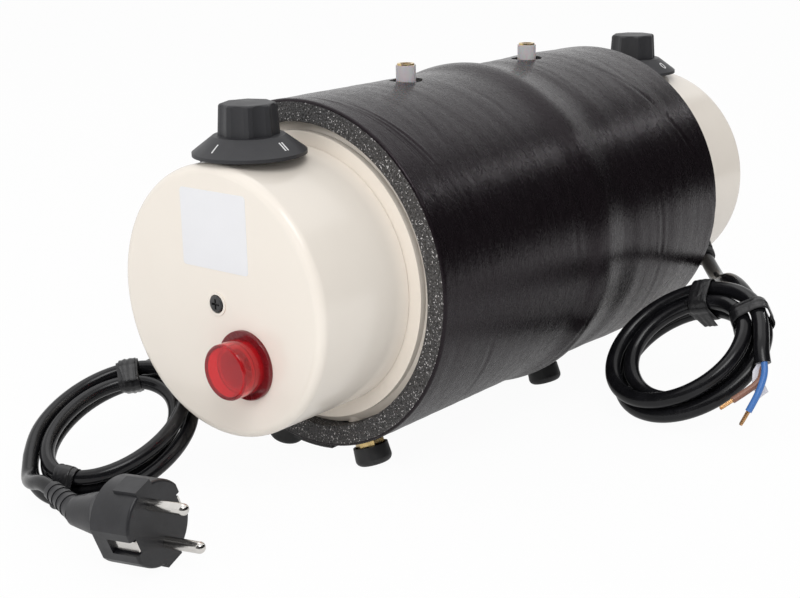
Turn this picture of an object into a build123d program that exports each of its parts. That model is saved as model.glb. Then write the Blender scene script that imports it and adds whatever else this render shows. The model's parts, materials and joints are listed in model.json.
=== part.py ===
from build123d import *
import math
import os

# Pressureless water heater for a caravan, with its mains lead and its low voltage cable.
# Millimetres. X runs along the tank from the lamp end to the rear end and Z is up.
# The origin lies on the floor, below the middle of the heater.

# Tank, foam sleeve and covers
tank_length = 237.4
tank_radius = 69.7
tank_wall = 3.0
end_wall = 4.0
land_radius = 66.0
shoulder_setback = 3.5
shoulder_edge = 2.0
spigot_wall = 3.0
spigot_length = 6.0
weld_flange_radius = 73.0
weld_flange_width = 3.0
sleeve_thickness = 10.0
sleeve_reach = 0.9
sleeve_edge = 1.2
hump_height = 2.2
hump_length = 46.0
hump_shift = 4.0
relief_length = 16.0
cover_radius = 59.7
cover_wall = 2.5
cover_face = 3.0
cover_edge = 4.0
cover_inner_edge = 2.0
front_cover_depth = 55.2
rear_cover_depth = 71.6
joint_gap = 0.3
skin_gap = 0.3
cut_overrun = 3.0

# Seam tape that closes the sleeve underneath
seam_thickness = 1.2
seam_length = 52.0
seam_half_angle = 8.5
seam_side_angle = 180.0

# Cover screws and their pillars
screw_head_radius = 3.7
screw_head_height = 2.2
screw_head_edge = 0.7
screw_shank_radius = 2.0
screw_grip = 14.0
screw_clearance = 0.05
screw_slot_width = 1.0
screw_slot_length = 4.6
screw_slot_depth = 1.2
recess_radius = 4.1
recess_depth = 1.6
recess_rim_radius = 5.2
recess_rim_height = 0.5
pillar_radius = 5.0
pillar_foot_radius = 8.0
pillar_foot_height = 3.0
pillar_tenon_radius = 3.0
pillar_tenon_length = 3.0

# Knobs, rotary switches and their shafts
front_knob_setback = 23.5
rear_knob_setback = 27.4
knob_rise = 1.1
knob_height = 21.8
knob_skirt_radius = 24.5
knob_skirt_rim = 1.5
knob_skirt_height = 8.3
knob_skirt_top_radius = 15.5
knob_wall = 2.0
grip_sides = 8
grip_base_radius = 13.7
grip_top_radius = 12.3
grip_top_edge = 1.4
scallop_radius = 9.0
scallop_depth = 0.45
knob_hub_radius = 5.5
knob_hub_lift = 4.2
shaft_radius = 3.0
shaft_flat = 2.2
shaft_top = 16.0
shaft_bottom = 3.0
shaft_fit = 0.05
knob_fit = 0.02
bush_radius = 5.0
bush_rise = 3.2
bush_clearance = 0.15
switch_nut_across = 14.0
switch_nut_height = 2.0
switch_width = 28.0
switch_depth = 28.0
switch_height = 19.0
switch_edge = 1.5
switch_tab_width = 4.8
switch_tab_thickness = 0.8
switch_tab_length = 7.0
switch_tab_spacing = 8.0

# Signal lamp
lens_radius = 12.15
lens_projection = 13.5
lens_wall = 1.6
lens_front = 2.2
lens_edge = 1.3
lens_flange_radius = 15.2
lens_flange_height = 2.0
lens_flange_edge = 0.6
lamp_side = 16.0
lamp_drop = 24.1
holder_radius = 9.9
holder_wall = 1.5
holder_reach = 6.0
holder_depth = 17.0
holder_floor = 3.0
holder_clearance = 0.2
lens_fit = 0.1
lamp_nut_radius = 14.0
lamp_nut_height = 4.0
bulb_radius = 3.4
bulb_length = 15.0

# Water pipes
front_pipe_setback = 73.5
pipe_spacing = 100.3
pipe_radius = 4.75
pipe_bore_radius = 3.4
pipe_top = 87.0
pipe_bottom = 58.0
pipe_collar_radius = 6.6
pipe_collar_height = 1.5
pipe_boss_radius = 7.0
pipe_boss_top = 73.0
pipe_fit = 0.05
sleeve_hole_radius = 7.9
support_sleeve_bore = 2.65
support_sleeve_length = 14.0
support_sleeve_lip = 0.8
support_sleeve_lip_radius = 4.1
dip_tube_wall = 1.2
dip_tube_overlap = 10.0
dip_tube_bottom = 60.0

# Feet
foot_setback = 11.4
foot_spacing = 141.0
foot_tilt = 18.0
foot_radius = 8.6
foot_top_radius = 8.2
foot_height = 9.0
foot_edge = 3.0
foot_flat = 0.4
foot_recess_radius = 7.2
foot_recess_depth = 2.6
foot_nut_across = 12.0
foot_nut_height = 5.0
foot_nut_gap = 0.627
foot_stud_radius = 3.0
foot_stud_sink = 3.5
foot_stud_start = 68.2
foot_boss_radius = 7.0
foot_boss_top = 72.5
foot_boss_root = 65.0

# Heating elements, thermostats and terminal blocks behind the covers
element_drop = 27.5
element_flange_radius = 18.0
element_flange_height = 4.0
element_gasket_height = 1.5
element_neck_radius = 15.2
element_neck_length = 9.0
element_hole_clearance = 0.2
element_rod_radius = 4.0
element_leg_spacing = 22.0
mains_element_length = 130.0
element_tip_spacing = 22.4
element_sink = 2.0
element_pin_radius = 2.0
element_pin_length = 9.0
thermostat_radius = 13.0
thermostat_height = 12.0
thermostat_rim_radius = 15.0
thermostat_rim_height = 1.5
thermostat_side = 33.0
thermostat_lift = 10.0
thermostat_tab_height = 7.0
terminal_pitch = 9.0
terminal_width = 16.0
terminal_height = 13.0
terminal_base = 4.0
terminal_side = 33.0
terminal_lift = 12.0
terminal_hole_radius = 1.9

# Cable boots on the covers
front_boot_length = 24.0
rear_boot_length = 20.0
boot_base_radius = 7.5
boot_tip_extra = 1.6
boot_shank_radius = 5.6
boot_shank_length = 10.5
boot_collar_radius = 8.0
boot_collar_height = 2.5
boot_rings = 4
boot_ring_depth = 0.7
boot_ring_share = 0.5
boot_root = 7.0
front_boot_setback = 36.4
front_boot_angle = 123.2
front_boot_lean = 17.4
rear_boot_setback = 43.2
rear_boot_angle = 242.4
rear_boot_lean = 38.3

# Mains lead, in three cores, wound and tied, with its plug
mains_cord_radius = 3.3
mains_coil_centre = (-191.7, 54.6, 24.7)
mains_coil_lean = 21.9
mains_coil_heading = 23.3
mains_coil_twist = -15.0
mains_coil_inner = 22.3
mains_coil_stretch = 9.5
mains_coil_turns_in = 1.38
mains_coil_turns_out = 1.75
mains_coil_reversal = 0.0
mains_tie_angles = (187.0, 33.0)

# Low voltage cable, in two cores, wound and tied, with bared ends
cable_radius = 3.9
cable_coil_centre = (35.0, -108.3, 32.3)
cable_coil_lean = 38.0
cable_coil_heading = -11.9
cable_coil_twist = -30.0
cable_coil_inner = 23.0
cable_coil_stretch = 5.0
cable_coil_turns_in = 1.5
cable_coil_turns_out = 1.57
cable_coil_reversal = 180.0
cable_tie_angles = (-9.0, 50.0)
coil_turn_gap = 0.9
station_margin_share = 0.25
coil_stations = 4
gap_samples = 48
tie_thickness = 0.9
tie_width = 7.0
tie_slack = 0.8

# Straight runs with which the free stretches leave what they join, and the places between them
mains_lead_run = 11.4
mains_lead_route = [
    (-157.6, 86.4, 34.4),
    (-168.1, 91.3, 33.2),
]
plug_lead_first_run = 8.4
plug_lead_last_run = 10.0
plug_lead_route = [
    (-240.8, 50.5, 16.6),
]
cable_lead_run = 15.9
cable_lead_route = [
    (110.7, -88.2, 48.2),
    (97.8, -96.4, 53.1),
    (85.9, -105.7, 58.1),
]
cable_end_run = 5.0
cable_end_route = [
    (31.8, -150.4, 40.9),
    (29.8, -152.5, 36.8),
]
wire_run = 4.0
blue_wire_route = [
    (22.4, -155.6, 27.9),
    (18.2, -154.7, 22.0),
    (15.2, -153.2, 17.1),
]
brown_wire_route = [
    (25.6, -152.8, 28.4),
    (19.9, -148.8, 24.3),
    (14.8, -145.2, 21.1),
]
wire_radius = 1.6
strand_radius = 1.0
strand_length = 7.5
wire_spacing = 1.85

# Plug, lying on its rim
plug_face = (-241.5, -30.6, 20.4)
plug_heading = -83.3
plug_pitch = 6.0
plug_roll = 18.5
plug_radius = 17.5
plug_width = 32.0
plug_front_length = 20.0
plug_edge = 1.2
plug_waist_length = 9.0
plug_grip_length = 16.0
plug_grip_height = 21.0
plug_grip_width = 17.0
plug_grip_end = 12.5
plug_ledge_width = 9.0
plug_ledge_length = 12.0
plug_ledge_rise = 1.2
plug_ledge_root = 3.0
plug_slot_width = 7.0
plug_slot_depth = 2.6
plug_slot_length = 13.0
plug_pin_radius = 2.4
plug_pin_length = 19.0
plug_pin_spacing = 19.0
plug_pin_root = 4.0
plug_pin_fit = 0.02
contact_width = 5.0
contact_thickness = 0.8
relief_lift = 8.0
relief_swing = 20.0
relief_start_radius = 5.4
relief_taper_length = 20.0

base = (Align.CENTER, Align.CENTER, Align.MIN)
up = (0.0, 0.0, 1.0)
top_angle = 0.0

# Stations along the heater, worked out from the sizes above
overall = (
    lens_projection + front_cover_depth + joint_gap + tank_length
    + joint_gap + rear_cover_depth + recess_rim_height
)
front_face_x = lens_projection - overall / 2
tank_front_x = front_face_x + front_cover_depth + joint_gap
tank_rear_x = tank_front_x + tank_length
tank_middle_x = (tank_front_x + tank_rear_x) / 2
rear_face_x = tank_rear_x + joint_gap + rear_cover_depth
sleeve_front_x = tank_front_x - sleeve_reach
sleeve_rear_x = tank_rear_x + sleeve_reach
front_knob_x = front_face_x + front_knob_setback
rear_knob_x = rear_face_x - rear_knob_setback
front_pipe_x = tank_front_x + front_pipe_setback
rear_pipe_x = front_pipe_x + pipe_spacing
front_foot_x = tank_front_x + foot_setback
rear_foot_x = front_foot_x + foot_spacing
sleeve_bore = tank_radius + skin_gap
sleeve_radius = sleeve_bore + sleeve_thickness
knob_base = cover_radius + knob_rise
low_voltage_element_length = tank_length - mains_element_length - element_tip_spacing
foot_stations = {
    "front_right": (front_foot_x, 180.0 + foot_tilt),
    "front_left": (front_foot_x, 180.0 - foot_tilt),
    "rear_right": (rear_foot_x, 180.0 + foot_tilt),
    "rear_left": (rear_foot_x, 180.0 - foot_tilt),
}

# The feet, screwed up to the nuts below the sleeve, set the height of the heater's axis
foot_slope = math.radians(foot_tilt)
nut_seat = sleeve_radius + foot_nut_gap + foot_nut_height
foot_top = nut_seat - foot_recess_depth
foot_bottom = foot_top + foot_height
axis_height = (
    (foot_bottom - foot_edge) * math.cos(foot_slope)
    + (foot_radius - foot_edge) * math.sin(foot_slope)
    + foot_edge - foot_flat
)

os.makedirs("parts", exist_ok=True)


def save(name, shape):
    export_step(shape, f"parts/{name}.step")


def turned(*outline):
    """A body turned about the heater's axis, from points of place along it and radius."""
    face = make_face(Polyline(*outline, close=True))
    return revolve(face, Axis.X).moved(Location((0, 0, axis_height)))


def spoke(x, angle):
    """A plane on the heater's axis whose normal points outwards, angle degrees from the top."""
    side = math.radians(angle)
    return Plane(origin=(x, 0, axis_height), x_dir=(1, 0, 0), z_dir=(0, math.sin(side), math.cos(side)))


def peg(place, radius, low, high):
    """A round peg along a plane's normal, between two heights."""
    return place * Pos(0, 0, low) * Cylinder(radius, high - low, align=base)


def tube(place, radius, bore, low, high):
    return peg(place, radius, low, high) - peg(place, bore, low - cut_overrun, high + cut_overrun)


def hex_nut(place, across, bore, low, high):
    blank = extrude(place * Pos(0, 0, low) * RegularPolygon(across / 2, 6, major_radius=False), high - low)
    return blank - peg(place, bore, low - cut_overrun, high + cut_overrun)


def end_place(face_x, inward, side, lift):
    """A plane on an end wall, square to the axis, whose normal points away from the tank."""
    return Plane(origin=(face_x, side, axis_height + lift), x_dir=(0, 1, 0), z_dir=(-inward, 0, 0))


# Tank halves

def tank_shell(end_x, inward):
    """One half of the tank, open at the weld. inward is the sense from its end wall to the weld."""
    shell = turned(
        (end_x, 0),
        (end_x, land_radius),
        (end_x + inward * shoulder_setback, land_radius),
        (end_x + inward * (shoulder_setback + shoulder_edge), tank_radius),
        (tank_middle_x - inward * weld_flange_width, tank_radius),
        (tank_middle_x - inward * weld_flange_width, weld_flange_radius),
        (tank_middle_x, weld_flange_radius),
        (tank_middle_x, tank_radius - tank_wall),
        (end_x + inward * end_wall * 2, tank_radius - tank_wall),
        (end_x + inward * end_wall, land_radius - tank_wall),
        (end_x + inward * end_wall, 0),
    )
    spigot_radius = cover_radius - cover_wall - skin_gap
    shell += turned(
        (end_x - inward * spigot_length, spigot_radius),
        (end_x, spigot_radius),
        (end_x, spigot_radius - spigot_wall),
        (end_x - inward * spigot_length, spigot_radius - spigot_wall),
    )
    return shell


def tank_half(end_x, inward, pipe_x, foot_x):
    shell = tank_shell(end_x, inward)
    pipe_place = spoke(pipe_x, top_angle)
    shell += peg(pipe_place, pipe_boss_radius, foot_boss_root, pipe_boss_top)
    shell -= peg(pipe_place, pipe_radius + pipe_fit, 0, pipe_boss_top + cut_overrun)
    for tilt in (-foot_tilt, foot_tilt):
        foot_place = spoke(foot_x, 180.0 + tilt)
        shell += peg(foot_place, foot_boss_radius, foot_boss_root, foot_boss_top)
        shell -= peg(foot_place, foot_stud_radius + screw_clearance, foot_stud_start, foot_boss_top + cut_overrun)
    wall_place = end_place(end_x, inward, 0, -element_drop)
    shell -= peg(wall_place, element_neck_radius + element_hole_clearance, -end_wall - cut_overrun, cut_overrun)
    centre_place = end_place(end_x, inward, 0, 0)
    shell -= peg(centre_place, pillar_tenon_radius + screw_clearance, -pillar_tenon_length, cut_overrun)
    return shell


tank_front_shell = tank_half(tank_front_x, 1, front_pipe_x, front_foot_x)
tank_rear_shell = tank_half(tank_rear_x, -1, rear_pipe_x, rear_foot_x)
save("tank_front_shell", tank_front_shell)
save("tank_rear_shell", tank_rear_shell)


# Foam sleeve, stretched over the weld flange

def hump_line():
    """The two ends and the crest of the sleeve's rise over the weld."""
    middle = tank_middle_x + hump_shift
    left = (middle - hump_length / 2, sleeve_radius)
    right = (middle + hump_length / 2, sleeve_radius)
    crest = (middle, sleeve_radius + hump_height)
    return left, crest, right


def make_sleeve():
    left, crest, right = hump_line()
    outer = Polyline((sleeve_front_x, sleeve_bore), (sleeve_front_x, sleeve_radius), left)
    outer += Spline(left, crest, right, tangents=[(1, 0), (1, 0)])
    outer += Polyline(right, (sleeve_rear_x, sleeve_radius), (sleeve_rear_x, sleeve_bore), (sleeve_front_x, sleeve_bore))
    sleeve = revolve(make_face(outer), Axis.X).moved(Location((0, 0, axis_height)))
    rims = sleeve.edges().filter_by(GeomType.CIRCLE).group_by(Axis.X)
    outer_rims = [
        edge for group in (rims[0], rims[-1]) for edge in group
        if edge.radius > sleeve_radius - skin_gap
    ]
    sleeve = fillet(outer_rims, sleeve_edge)
    relief_radius = weld_flange_radius + skin_gap
    sleeve -= turned(
        (tank_middle_x - relief_length / 2, 0),
        (tank_middle_x - relief_length / 4, relief_radius),
        (tank_middle_x + relief_length / 4, relief_radius),
        (tank_middle_x + relief_length / 2, 0),
    )
    for pipe_x in (front_pipe_x, rear_pipe_x):
        sleeve -= peg(spoke(pipe_x, top_angle), sleeve_hole_radius, 0, sleeve_radius + cut_overrun)
    for foot_x, angle in foot_stations.values():
        sleeve -= peg(spoke(foot_x, angle), foot_boss_radius + skin_gap, 0, sleeve_radius + cut_overrun)
    return sleeve


save("foam_sleeve", make_sleeve())


def make_seam_tape():
    """A strip of tape on the underside of the sleeve, from its front rim."""
    place = spoke(sleeve_front_x + sleeve_edge, seam_side_angle)
    half = math.radians(seam_half_angle)
    inner = sleeve_radius + joint_gap
    outer = inner + seam_thickness
    corners = []
    for radius in (inner, outer):
        corners.append([
            (radius * math.sin(turn), radius * math.cos(turn))
            for turn in (-half, 0.0, half)
        ])
    low, high = corners
    line = ThreePointArc(*low) + Line(low[-1], high[-1]) + ThreePointArc(*reversed(high)) + Line(high[0], low[0])
    section_place = Plane(origin=place.origin, x_dir=place.y_dir, z_dir=(1, 0, 0))
    return extrude(make_face(section_place * line), seam_length)


save("sleeve_seam_tape", make_seam_tape())


# Covers, each with its central screw, pillar and recess

def cover(face_x, inward, depth):
    """A cup over the end of the tank. inward is the sense from its face to the tank."""
    mouth_x = face_x + inward * depth
    cup = turned((face_x, 0), (face_x, cover_radius), (mouth_x, cover_radius), (mouth_x, 0))
    rim = cup.edges().filter_by(GeomType.CIRCLE).sort_by(Axis.X)[0 if inward > 0 else -1]
    cup = fillet(rim, cover_edge)
    room = turned(
        (face_x + inward * cover_face, 0),
        (face_x + inward * cover_face, cover_radius - cover_wall - cover_inner_edge),
        (face_x + inward * (cover_face + cover_inner_edge), cover_radius - cover_wall),
        (mouth_x + inward * cut_overrun, cover_radius - cover_wall),
        (mouth_x + inward * cut_overrun, 0),
    )
    cup -= room
    face_place = end_place(face_x, inward, 0, 0)
    cup += peg(face_place, recess_rim_radius, -cover_face, recess_rim_height)
    cup -= peg(face_place, recess_radius, recess_rim_height - recess_depth, recess_rim_height + cut_overrun)
    cup -= peg(face_place, screw_shank_radius + screw_clearance, -depth, 0)
    return cup


def cut_for_switch(cup, knob_x):
    return cup - peg(spoke(knob_x, top_angle), bush_radius + bush_clearance, switch_floor, knob_base + cut_overrun)


def boot_place(x, angle, lean):
    """A plane on a cover's skin whose normal, leaning to the front, is the way a cable boot points."""
    outward = spoke(x, angle)
    tilt = math.radians(lean)
    return Plane(
        origin=outward.origin + outward.z_dir * cover_radius,
        x_dir=outward.y_dir,
        z_dir=outward.z_dir * math.cos(tilt) - outward.x_dir * math.sin(tilt),
    )


front_boot = boot_place(front_face_x + front_boot_setback, front_boot_angle, front_boot_lean)
rear_boot = boot_place(rear_face_x - rear_boot_setback, rear_boot_angle, rear_boot_lean)
switch_top = math.sqrt((cover_radius - cover_wall) ** 2 - (switch_width / 2) ** 2) - joint_gap
switch_floor = switch_top - switch_height


def cable_hole(place):
    return peg(place, boot_shank_radius + skin_gap, -boot_shank_length, boot_shank_length)


lamp_place = end_place(front_face_x, 1, -lamp_side, -lamp_drop)
front_cover = cut_for_switch(cover(front_face_x, 1, front_cover_depth), front_knob_x)
front_cover -= peg(lamp_place, holder_radius + holder_clearance, -cover_face - cut_overrun, cut_overrun)
front_cover -= cable_hole(front_boot)
rear_cover = cut_for_switch(cover(rear_face_x, -1, rear_cover_depth), rear_knob_x)
rear_cover -= cable_hole(rear_boot)
save("front_cover", front_cover)
save("rear_cover", rear_cover)


def pillar(face_x, end_x, inward):
    """A turned pillar on the tank's end wall that the cover screw bites into."""
    place = end_place(end_x, inward, 0, 0)
    height = abs(end_x - face_x) - cover_face
    body = peg(place, pillar_radius, 0, height)
    body += peg(place, pillar_foot_radius, 0, pillar_foot_height)
    body += peg(place, pillar_tenon_radius, -pillar_tenon_length, 0)
    return body - peg(place, screw_shank_radius + screw_clearance, height - screw_grip, height + cut_overrun)


def cover_screw(face_x, inward):
    """A domed screw with a cross slot, seated in the cover's recess."""
    place = end_place(face_x, inward, 0, 0)
    seat = recess_rim_height - recess_depth
    head = peg(place, screw_head_radius, seat, seat + screw_head_height)
    crown = head.edges().filter_by(GeomType.CIRCLE).sort_by(Axis.X)[0 if inward > 0 else -1]
    head = fillet(crown, screw_head_edge)
    for width, length in ((screw_slot_width, screw_slot_length), (screw_slot_length, screw_slot_width)):
        slot_floor = seat + screw_head_height - screw_slot_depth
        head -= place * Pos(0, 0, slot_floor) * Box(width, length, screw_slot_depth + cut_overrun, align=base)
    return head + peg(place, screw_shank_radius, seat - screw_grip, seat)


save("front_cover_pillar", pillar(front_face_x, tank_front_x, 1))
save("rear_cover_pillar", pillar(rear_face_x, tank_rear_x, -1))
save("front_cover_screw", cover_screw(front_face_x, 1))
save("rear_cover_screw", cover_screw(rear_face_x, -1))


# Rotary switches, with their shafts and knobs

def switch_body(knob_x):
    """A switch block under the cover's skin, with its threaded bush and its tabs."""
    place = spoke(knob_x, top_angle)
    block = place * Pos(0, 0, switch_floor) * Box(switch_depth, switch_width, switch_height, align=base)
    block = fillet(block.edges().filter_by(Axis.Z), switch_edge)
    block += peg(place, bush_radius, switch_top, cover_radius + bush_rise)
    for row in (-1, 0, 1):
        for side in (-1, 1):
            corner = Pos(side * switch_tab_spacing, row * switch_tab_spacing, switch_floor - switch_tab_length)
            block += place * corner * Box(switch_tab_thickness, switch_tab_width, switch_tab_length, align=base)
    return block - peg(place, shaft_radius + shaft_fit, switch_top - shaft_bottom, cover_radius + bush_rise + cut_overrun)


def switch_nut(knob_x):
    place = spoke(knob_x, top_angle)
    return hex_nut(place, switch_nut_across, bush_radius + bush_clearance, cover_radius + joint_gap,
                   cover_radius + joint_gap + switch_nut_height)


def switch_shaft(knob_x, radius, low, high):
    """A round shaft with a flat down the length that the knob grips."""
    place = spoke(knob_x, top_angle)
    rod = peg(place, radius, low, high)
    flat_x = shaft_flat + radius - shaft_radius
    flat_foot = knob_base + knob_hub_lift
    flat = place * Pos(flat_x + radius, 0, flat_foot) * Box(2 * radius, 4 * radius, high - flat_foot, align=base)
    return rod - flat


def knob_grip(place):
    """The eight-sided grip: a tapered loft with hollowed flanks and a rounded top."""
    foot = place * Pos(0, 0, knob_skirt_rim) * RegularPolygon(grip_base_radius, grip_sides)
    head = place * Pos(0, 0, knob_height) * RegularPolygon(grip_top_radius, grip_sides)
    grip = loft([foot, head])
    rise = knob_height - knob_skirt_rim
    flank_share = math.cos(math.pi / grip_sides)
    taper = math.degrees(math.atan((grip_base_radius - grip_top_radius) * flank_share / rise))
    grip = fillet(grip.faces().sort_by(Axis.Z)[-1].edges(), grip_top_edge)
    reach = (grip_base_radius + grip_top_radius) / 2 * flank_share + scallop_radius - scallop_depth
    for side in range(grip_sides):
        turn = (side + 0.5) * 360.0 / grip_sides
        cutter = Cylinder(scallop_radius, 3 * knob_height)
        placed = place * Rot(0, 0, turn) * Pos(reach, 0, (knob_height + knob_skirt_rim) / 2) * Rot(0, -taper, 0)
        grip -= placed * cutter
    return grip


def knob(knob_x):
    """A grip on a shallow cone skirt, hollow below, with a hub on the shaft."""
    place = Plane(origin=(knob_x, 0, axis_height + knob_base))
    skirt_line = Polyline(
        (0, 0),
        (knob_skirt_radius, 0),
        (knob_skirt_radius, knob_skirt_rim),
        (knob_skirt_top_radius, knob_skirt_height),
        (0, knob_skirt_height),
        close=True,
    )
    skirt = revolve(make_face(Plane.XZ * skirt_line), Axis.Z)
    body = place * skirt + knob_grip(place)
    hollow_line = Polyline(
        (0, -cut_overrun),
        (knob_skirt_radius - knob_wall, -cut_overrun),
        (knob_skirt_radius - knob_wall, 0),
        (grip_top_radius - knob_wall * 2, knob_skirt_height - knob_wall),
        (grip_top_radius - knob_wall * 2, knob_height - knob_wall * 2),
        (0, knob_height - knob_wall * 2),
        close=True,
    )
    hollow = place * revolve(make_face(Plane.XZ * hollow_line), Axis.Z)
    hub = peg(place, knob_hub_radius, knob_hub_lift, knob_height - knob_wall)
    body = body - hollow + hub
    return body - switch_shaft(knob_x, shaft_radius + knob_fit, knob_base, knob_base + shaft_top + knob_fit)


for end, knob_x in (("front", front_knob_x), ("rear", rear_knob_x)):
    save(f"{end}_switch", switch_body(knob_x))
    save(f"{end}_switch_nut", switch_nut(knob_x))
    save(f"{end}_switch_shaft", switch_shaft(knob_x, shaft_radius, switch_top - shaft_bottom + shaft_fit,
                                             knob_base + shaft_top))
    save(f"{end}_knob", knob(knob_x))


# Signal lamp on the front cover

def lamp_lens():
    """A hollow cap with a flange, pushed over the lamp holder."""
    cap = peg(lamp_place, lens_radius, 0, lens_projection)
    cap = fillet(cap.edges().filter_by(GeomType.CIRCLE).sort_by(Axis.X)[0], lens_edge)
    flange = peg(lamp_place, lens_flange_radius, 0, lens_flange_height)
    flange = fillet(flange.edges().filter_by(GeomType.CIRCLE).sort_by(Axis.X)[0], lens_flange_edge)
    cap += flange
    cap -= peg(lamp_place, lens_radius - lens_wall, holder_reach, lens_projection - lens_front)
    return cap - peg(lamp_place, holder_radius + lens_fit, -cut_overrun, holder_reach)


def lamp_holder():
    """A socket that passes through the cover and carries the bulb on its floor."""
    shell = peg(lamp_place, holder_radius, -holder_depth, holder_reach)
    return shell - peg(lamp_place, holder_radius - holder_wall, holder_floor - holder_depth, holder_reach + cut_overrun)


def lamp_bulb():
    foot = holder_floor - holder_depth
    glass = peg(lamp_place, bulb_radius, foot, foot + bulb_length - bulb_radius)
    return glass + lamp_place * Pos(0, 0, foot + bulb_length - bulb_radius) * Sphere(bulb_radius)


save("lamp_lens", lamp_lens())
save("lamp_holder", lamp_holder())
save("lamp_nut", tube(lamp_place, lamp_nut_radius, holder_radius + lens_fit, -cover_face - lamp_nut_height, -cover_face))
save("neon_lamp", lamp_bulb())


# Water pipes on top

def water_pipe(pipe_x):
    place = spoke(pipe_x, top_angle)
    pipe = peg(place, pipe_radius, pipe_bottom, pipe_top)
    pipe += peg(place, pipe_collar_radius, pipe_boss_top, pipe_boss_top + pipe_collar_height)
    return pipe - peg(place, pipe_bore_radius, pipe_bottom - cut_overrun, pipe_top + cut_overrun)


def support_sleeve(pipe_x):
    """A thin brass sleeve in the pipe's mouth, with a lip on its rim."""
    place = spoke(pipe_x, top_angle)
    sleeve = peg(place, pipe_bore_radius - knob_fit, pipe_top - support_sleeve_length, pipe_top)
    sleeve += peg(place, support_sleeve_lip_radius, pipe_top, pipe_top + support_sleeve_lip)
    return sleeve - peg(place, support_sleeve_bore, pipe_top - support_sleeve_length - cut_overrun,
                        pipe_top + cut_overrun)


save("inlet_pipe", water_pipe(front_pipe_x))
save("outlet_pipe", water_pipe(rear_pipe_x))
save("inlet_support_sleeve", support_sleeve(front_pipe_x))
save("outlet_support_sleeve", support_sleeve(rear_pipe_x))
dip_bore = pipe_radius + pipe_fit
save("inlet_dip_tube", tube(spoke(front_pipe_x, top_angle), dip_bore + dip_tube_wall, dip_bore,
                            -dip_tube_bottom, pipe_bottom + dip_tube_overlap - tank_wall))


# Feet, with their studs and nuts

def rubber_foot(x, angle):
    """A tapered buffer with a rounded tread, pressed flat where it stands."""
    place = spoke(x, angle)
    buffer_line = Polyline(
        (0, foot_top),
        (foot_top_radius, foot_top),
        (foot_radius, foot_bottom - foot_edge),
        (foot_radius, foot_bottom),
        (0, foot_bottom),
        close=True,
    )
    buffer = place * revolve(make_face(Plane.XZ * buffer_line), Axis.Z)
    tread = buffer.edges().filter_by(GeomType.CIRCLE).sort_by(SortBy.RADIUS)
    tread_edge = max(tread, key=lambda edge: (edge.arc_center - place.origin).dot(place.z_dir))
    buffer = fillet(tread_edge, foot_edge)
    buffer -= peg(place, foot_recess_radius, foot_top - cut_overrun, nut_seat)
    buffer -= peg(place, foot_stud_radius + screw_clearance, foot_top, nut_seat + foot_stud_sink)
    ground = Pos(x, 0, 0) * Box(axis_height, 2 * axis_height, axis_height, align=(Align.CENTER, Align.CENTER, Align.MAX))
    return buffer - ground


studs = []
nuts = []
for corner, (foot_x, angle) in foot_stations.items():
    place = spoke(foot_x, angle)
    save(f"foot_{corner}", rubber_foot(foot_x, angle))
    studs.append(peg(place, foot_stud_radius, foot_stud_start, nut_seat + foot_stud_sink))
    nuts.append(hex_nut(place, foot_nut_across, foot_stud_radius + screw_clearance, nut_seat - foot_nut_height, nut_seat))
save("foot_studs", Compound(studs))
save("foot_nuts", Compound(nuts))


# Heating elements, thermostats and terminal blocks

def heating_element(end_x, inward, length):
    """A hairpin rod on a flange, with two connection pins on its outer side."""
    place = end_place(end_x, inward, 0, -element_drop)
    seat = element_gasket_height
    body = peg(place, element_flange_radius, seat, seat + element_flange_height)
    body += peg(place, element_neck_radius, seat - element_neck_length, seat)
    half = element_leg_spacing / 2
    start = element_sink - element_neck_length
    hairpin = Polyline((half, start), (half, half - length), close=False)
    hairpin += ThreePointArc((half, half - length), (0, -length), (-half, half - length))
    hairpin += Polyline((-half, half - length), (-half, start), close=False)
    path = place * Plane.XZ * hairpin
    foot = place * Pos(half, 0, start) * Circle(element_rod_radius)
    body += sweep(foot, path=path)
    for side in (-half, half):
        post = place * Pos(side, 0, seat + element_flange_height)
        body += post * Cylinder(element_pin_radius, element_pin_length, align=base)
    return body


def element_gasket(end_x, inward):
    place = end_place(end_x, inward, 0, -element_drop)
    return tube(place, element_flange_radius, element_neck_radius + element_hole_clearance, 0, element_gasket_height)


def thermostat(end_x, inward, side):
    """A round snap thermostat held flat against the end wall."""
    place = end_place(end_x, inward, side * thermostat_side, thermostat_lift)
    body = peg(place, thermostat_rim_radius, 0, thermostat_rim_height)
    body += peg(place, thermostat_radius, 0, thermostat_height)
    for offset in (-switch_tab_spacing, switch_tab_spacing):
        tab = Pos(offset, 0, thermostat_height)
        body += place * tab * Box(switch_tab_thickness, switch_tab_width, thermostat_tab_height, align=base)
    return body


def terminal_block(end_x, inward, side, ways):
    """A row of clamp towers on a base, with a wire hole through each tower."""
    place = end_place(end_x, inward, side * terminal_side, terminal_lift)
    block = place * Box(terminal_width, ways * terminal_pitch, terminal_base, align=base)
    for way in range(ways):
        offset = (way - (ways - 1) / 2) * terminal_pitch
        tower = place * Pos(0, offset, 0)
        block += tower * Cylinder(terminal_pitch / 2 - joint_gap, terminal_height, align=base)
        hole_place = tower * Pos(0, 0, terminal_base + terminal_hole_radius * 2) * Rot(0, 90, 0)
        block -= hole_place * Cylinder(terminal_hole_radius, terminal_width + cut_overrun)
    return block


save("mains_heating_element", heating_element(tank_front_x, 1, mains_element_length))
save("mains_element_gasket", element_gasket(tank_front_x, 1))
save("mains_thermostat", thermostat(tank_front_x, 1, 1))
save("mains_terminal_block", terminal_block(tank_front_x, 1, -1, 3))
save("low_voltage_heating_element", heating_element(tank_rear_x, -1, low_voltage_element_length))
save("low_voltage_element_gasket", element_gasket(tank_rear_x, -1))
save("low_voltage_thermostat", thermostat(tank_rear_x, -1, 1))
save("low_voltage_terminal_block", terminal_block(tank_rear_x, -1, -1, 2))


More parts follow.
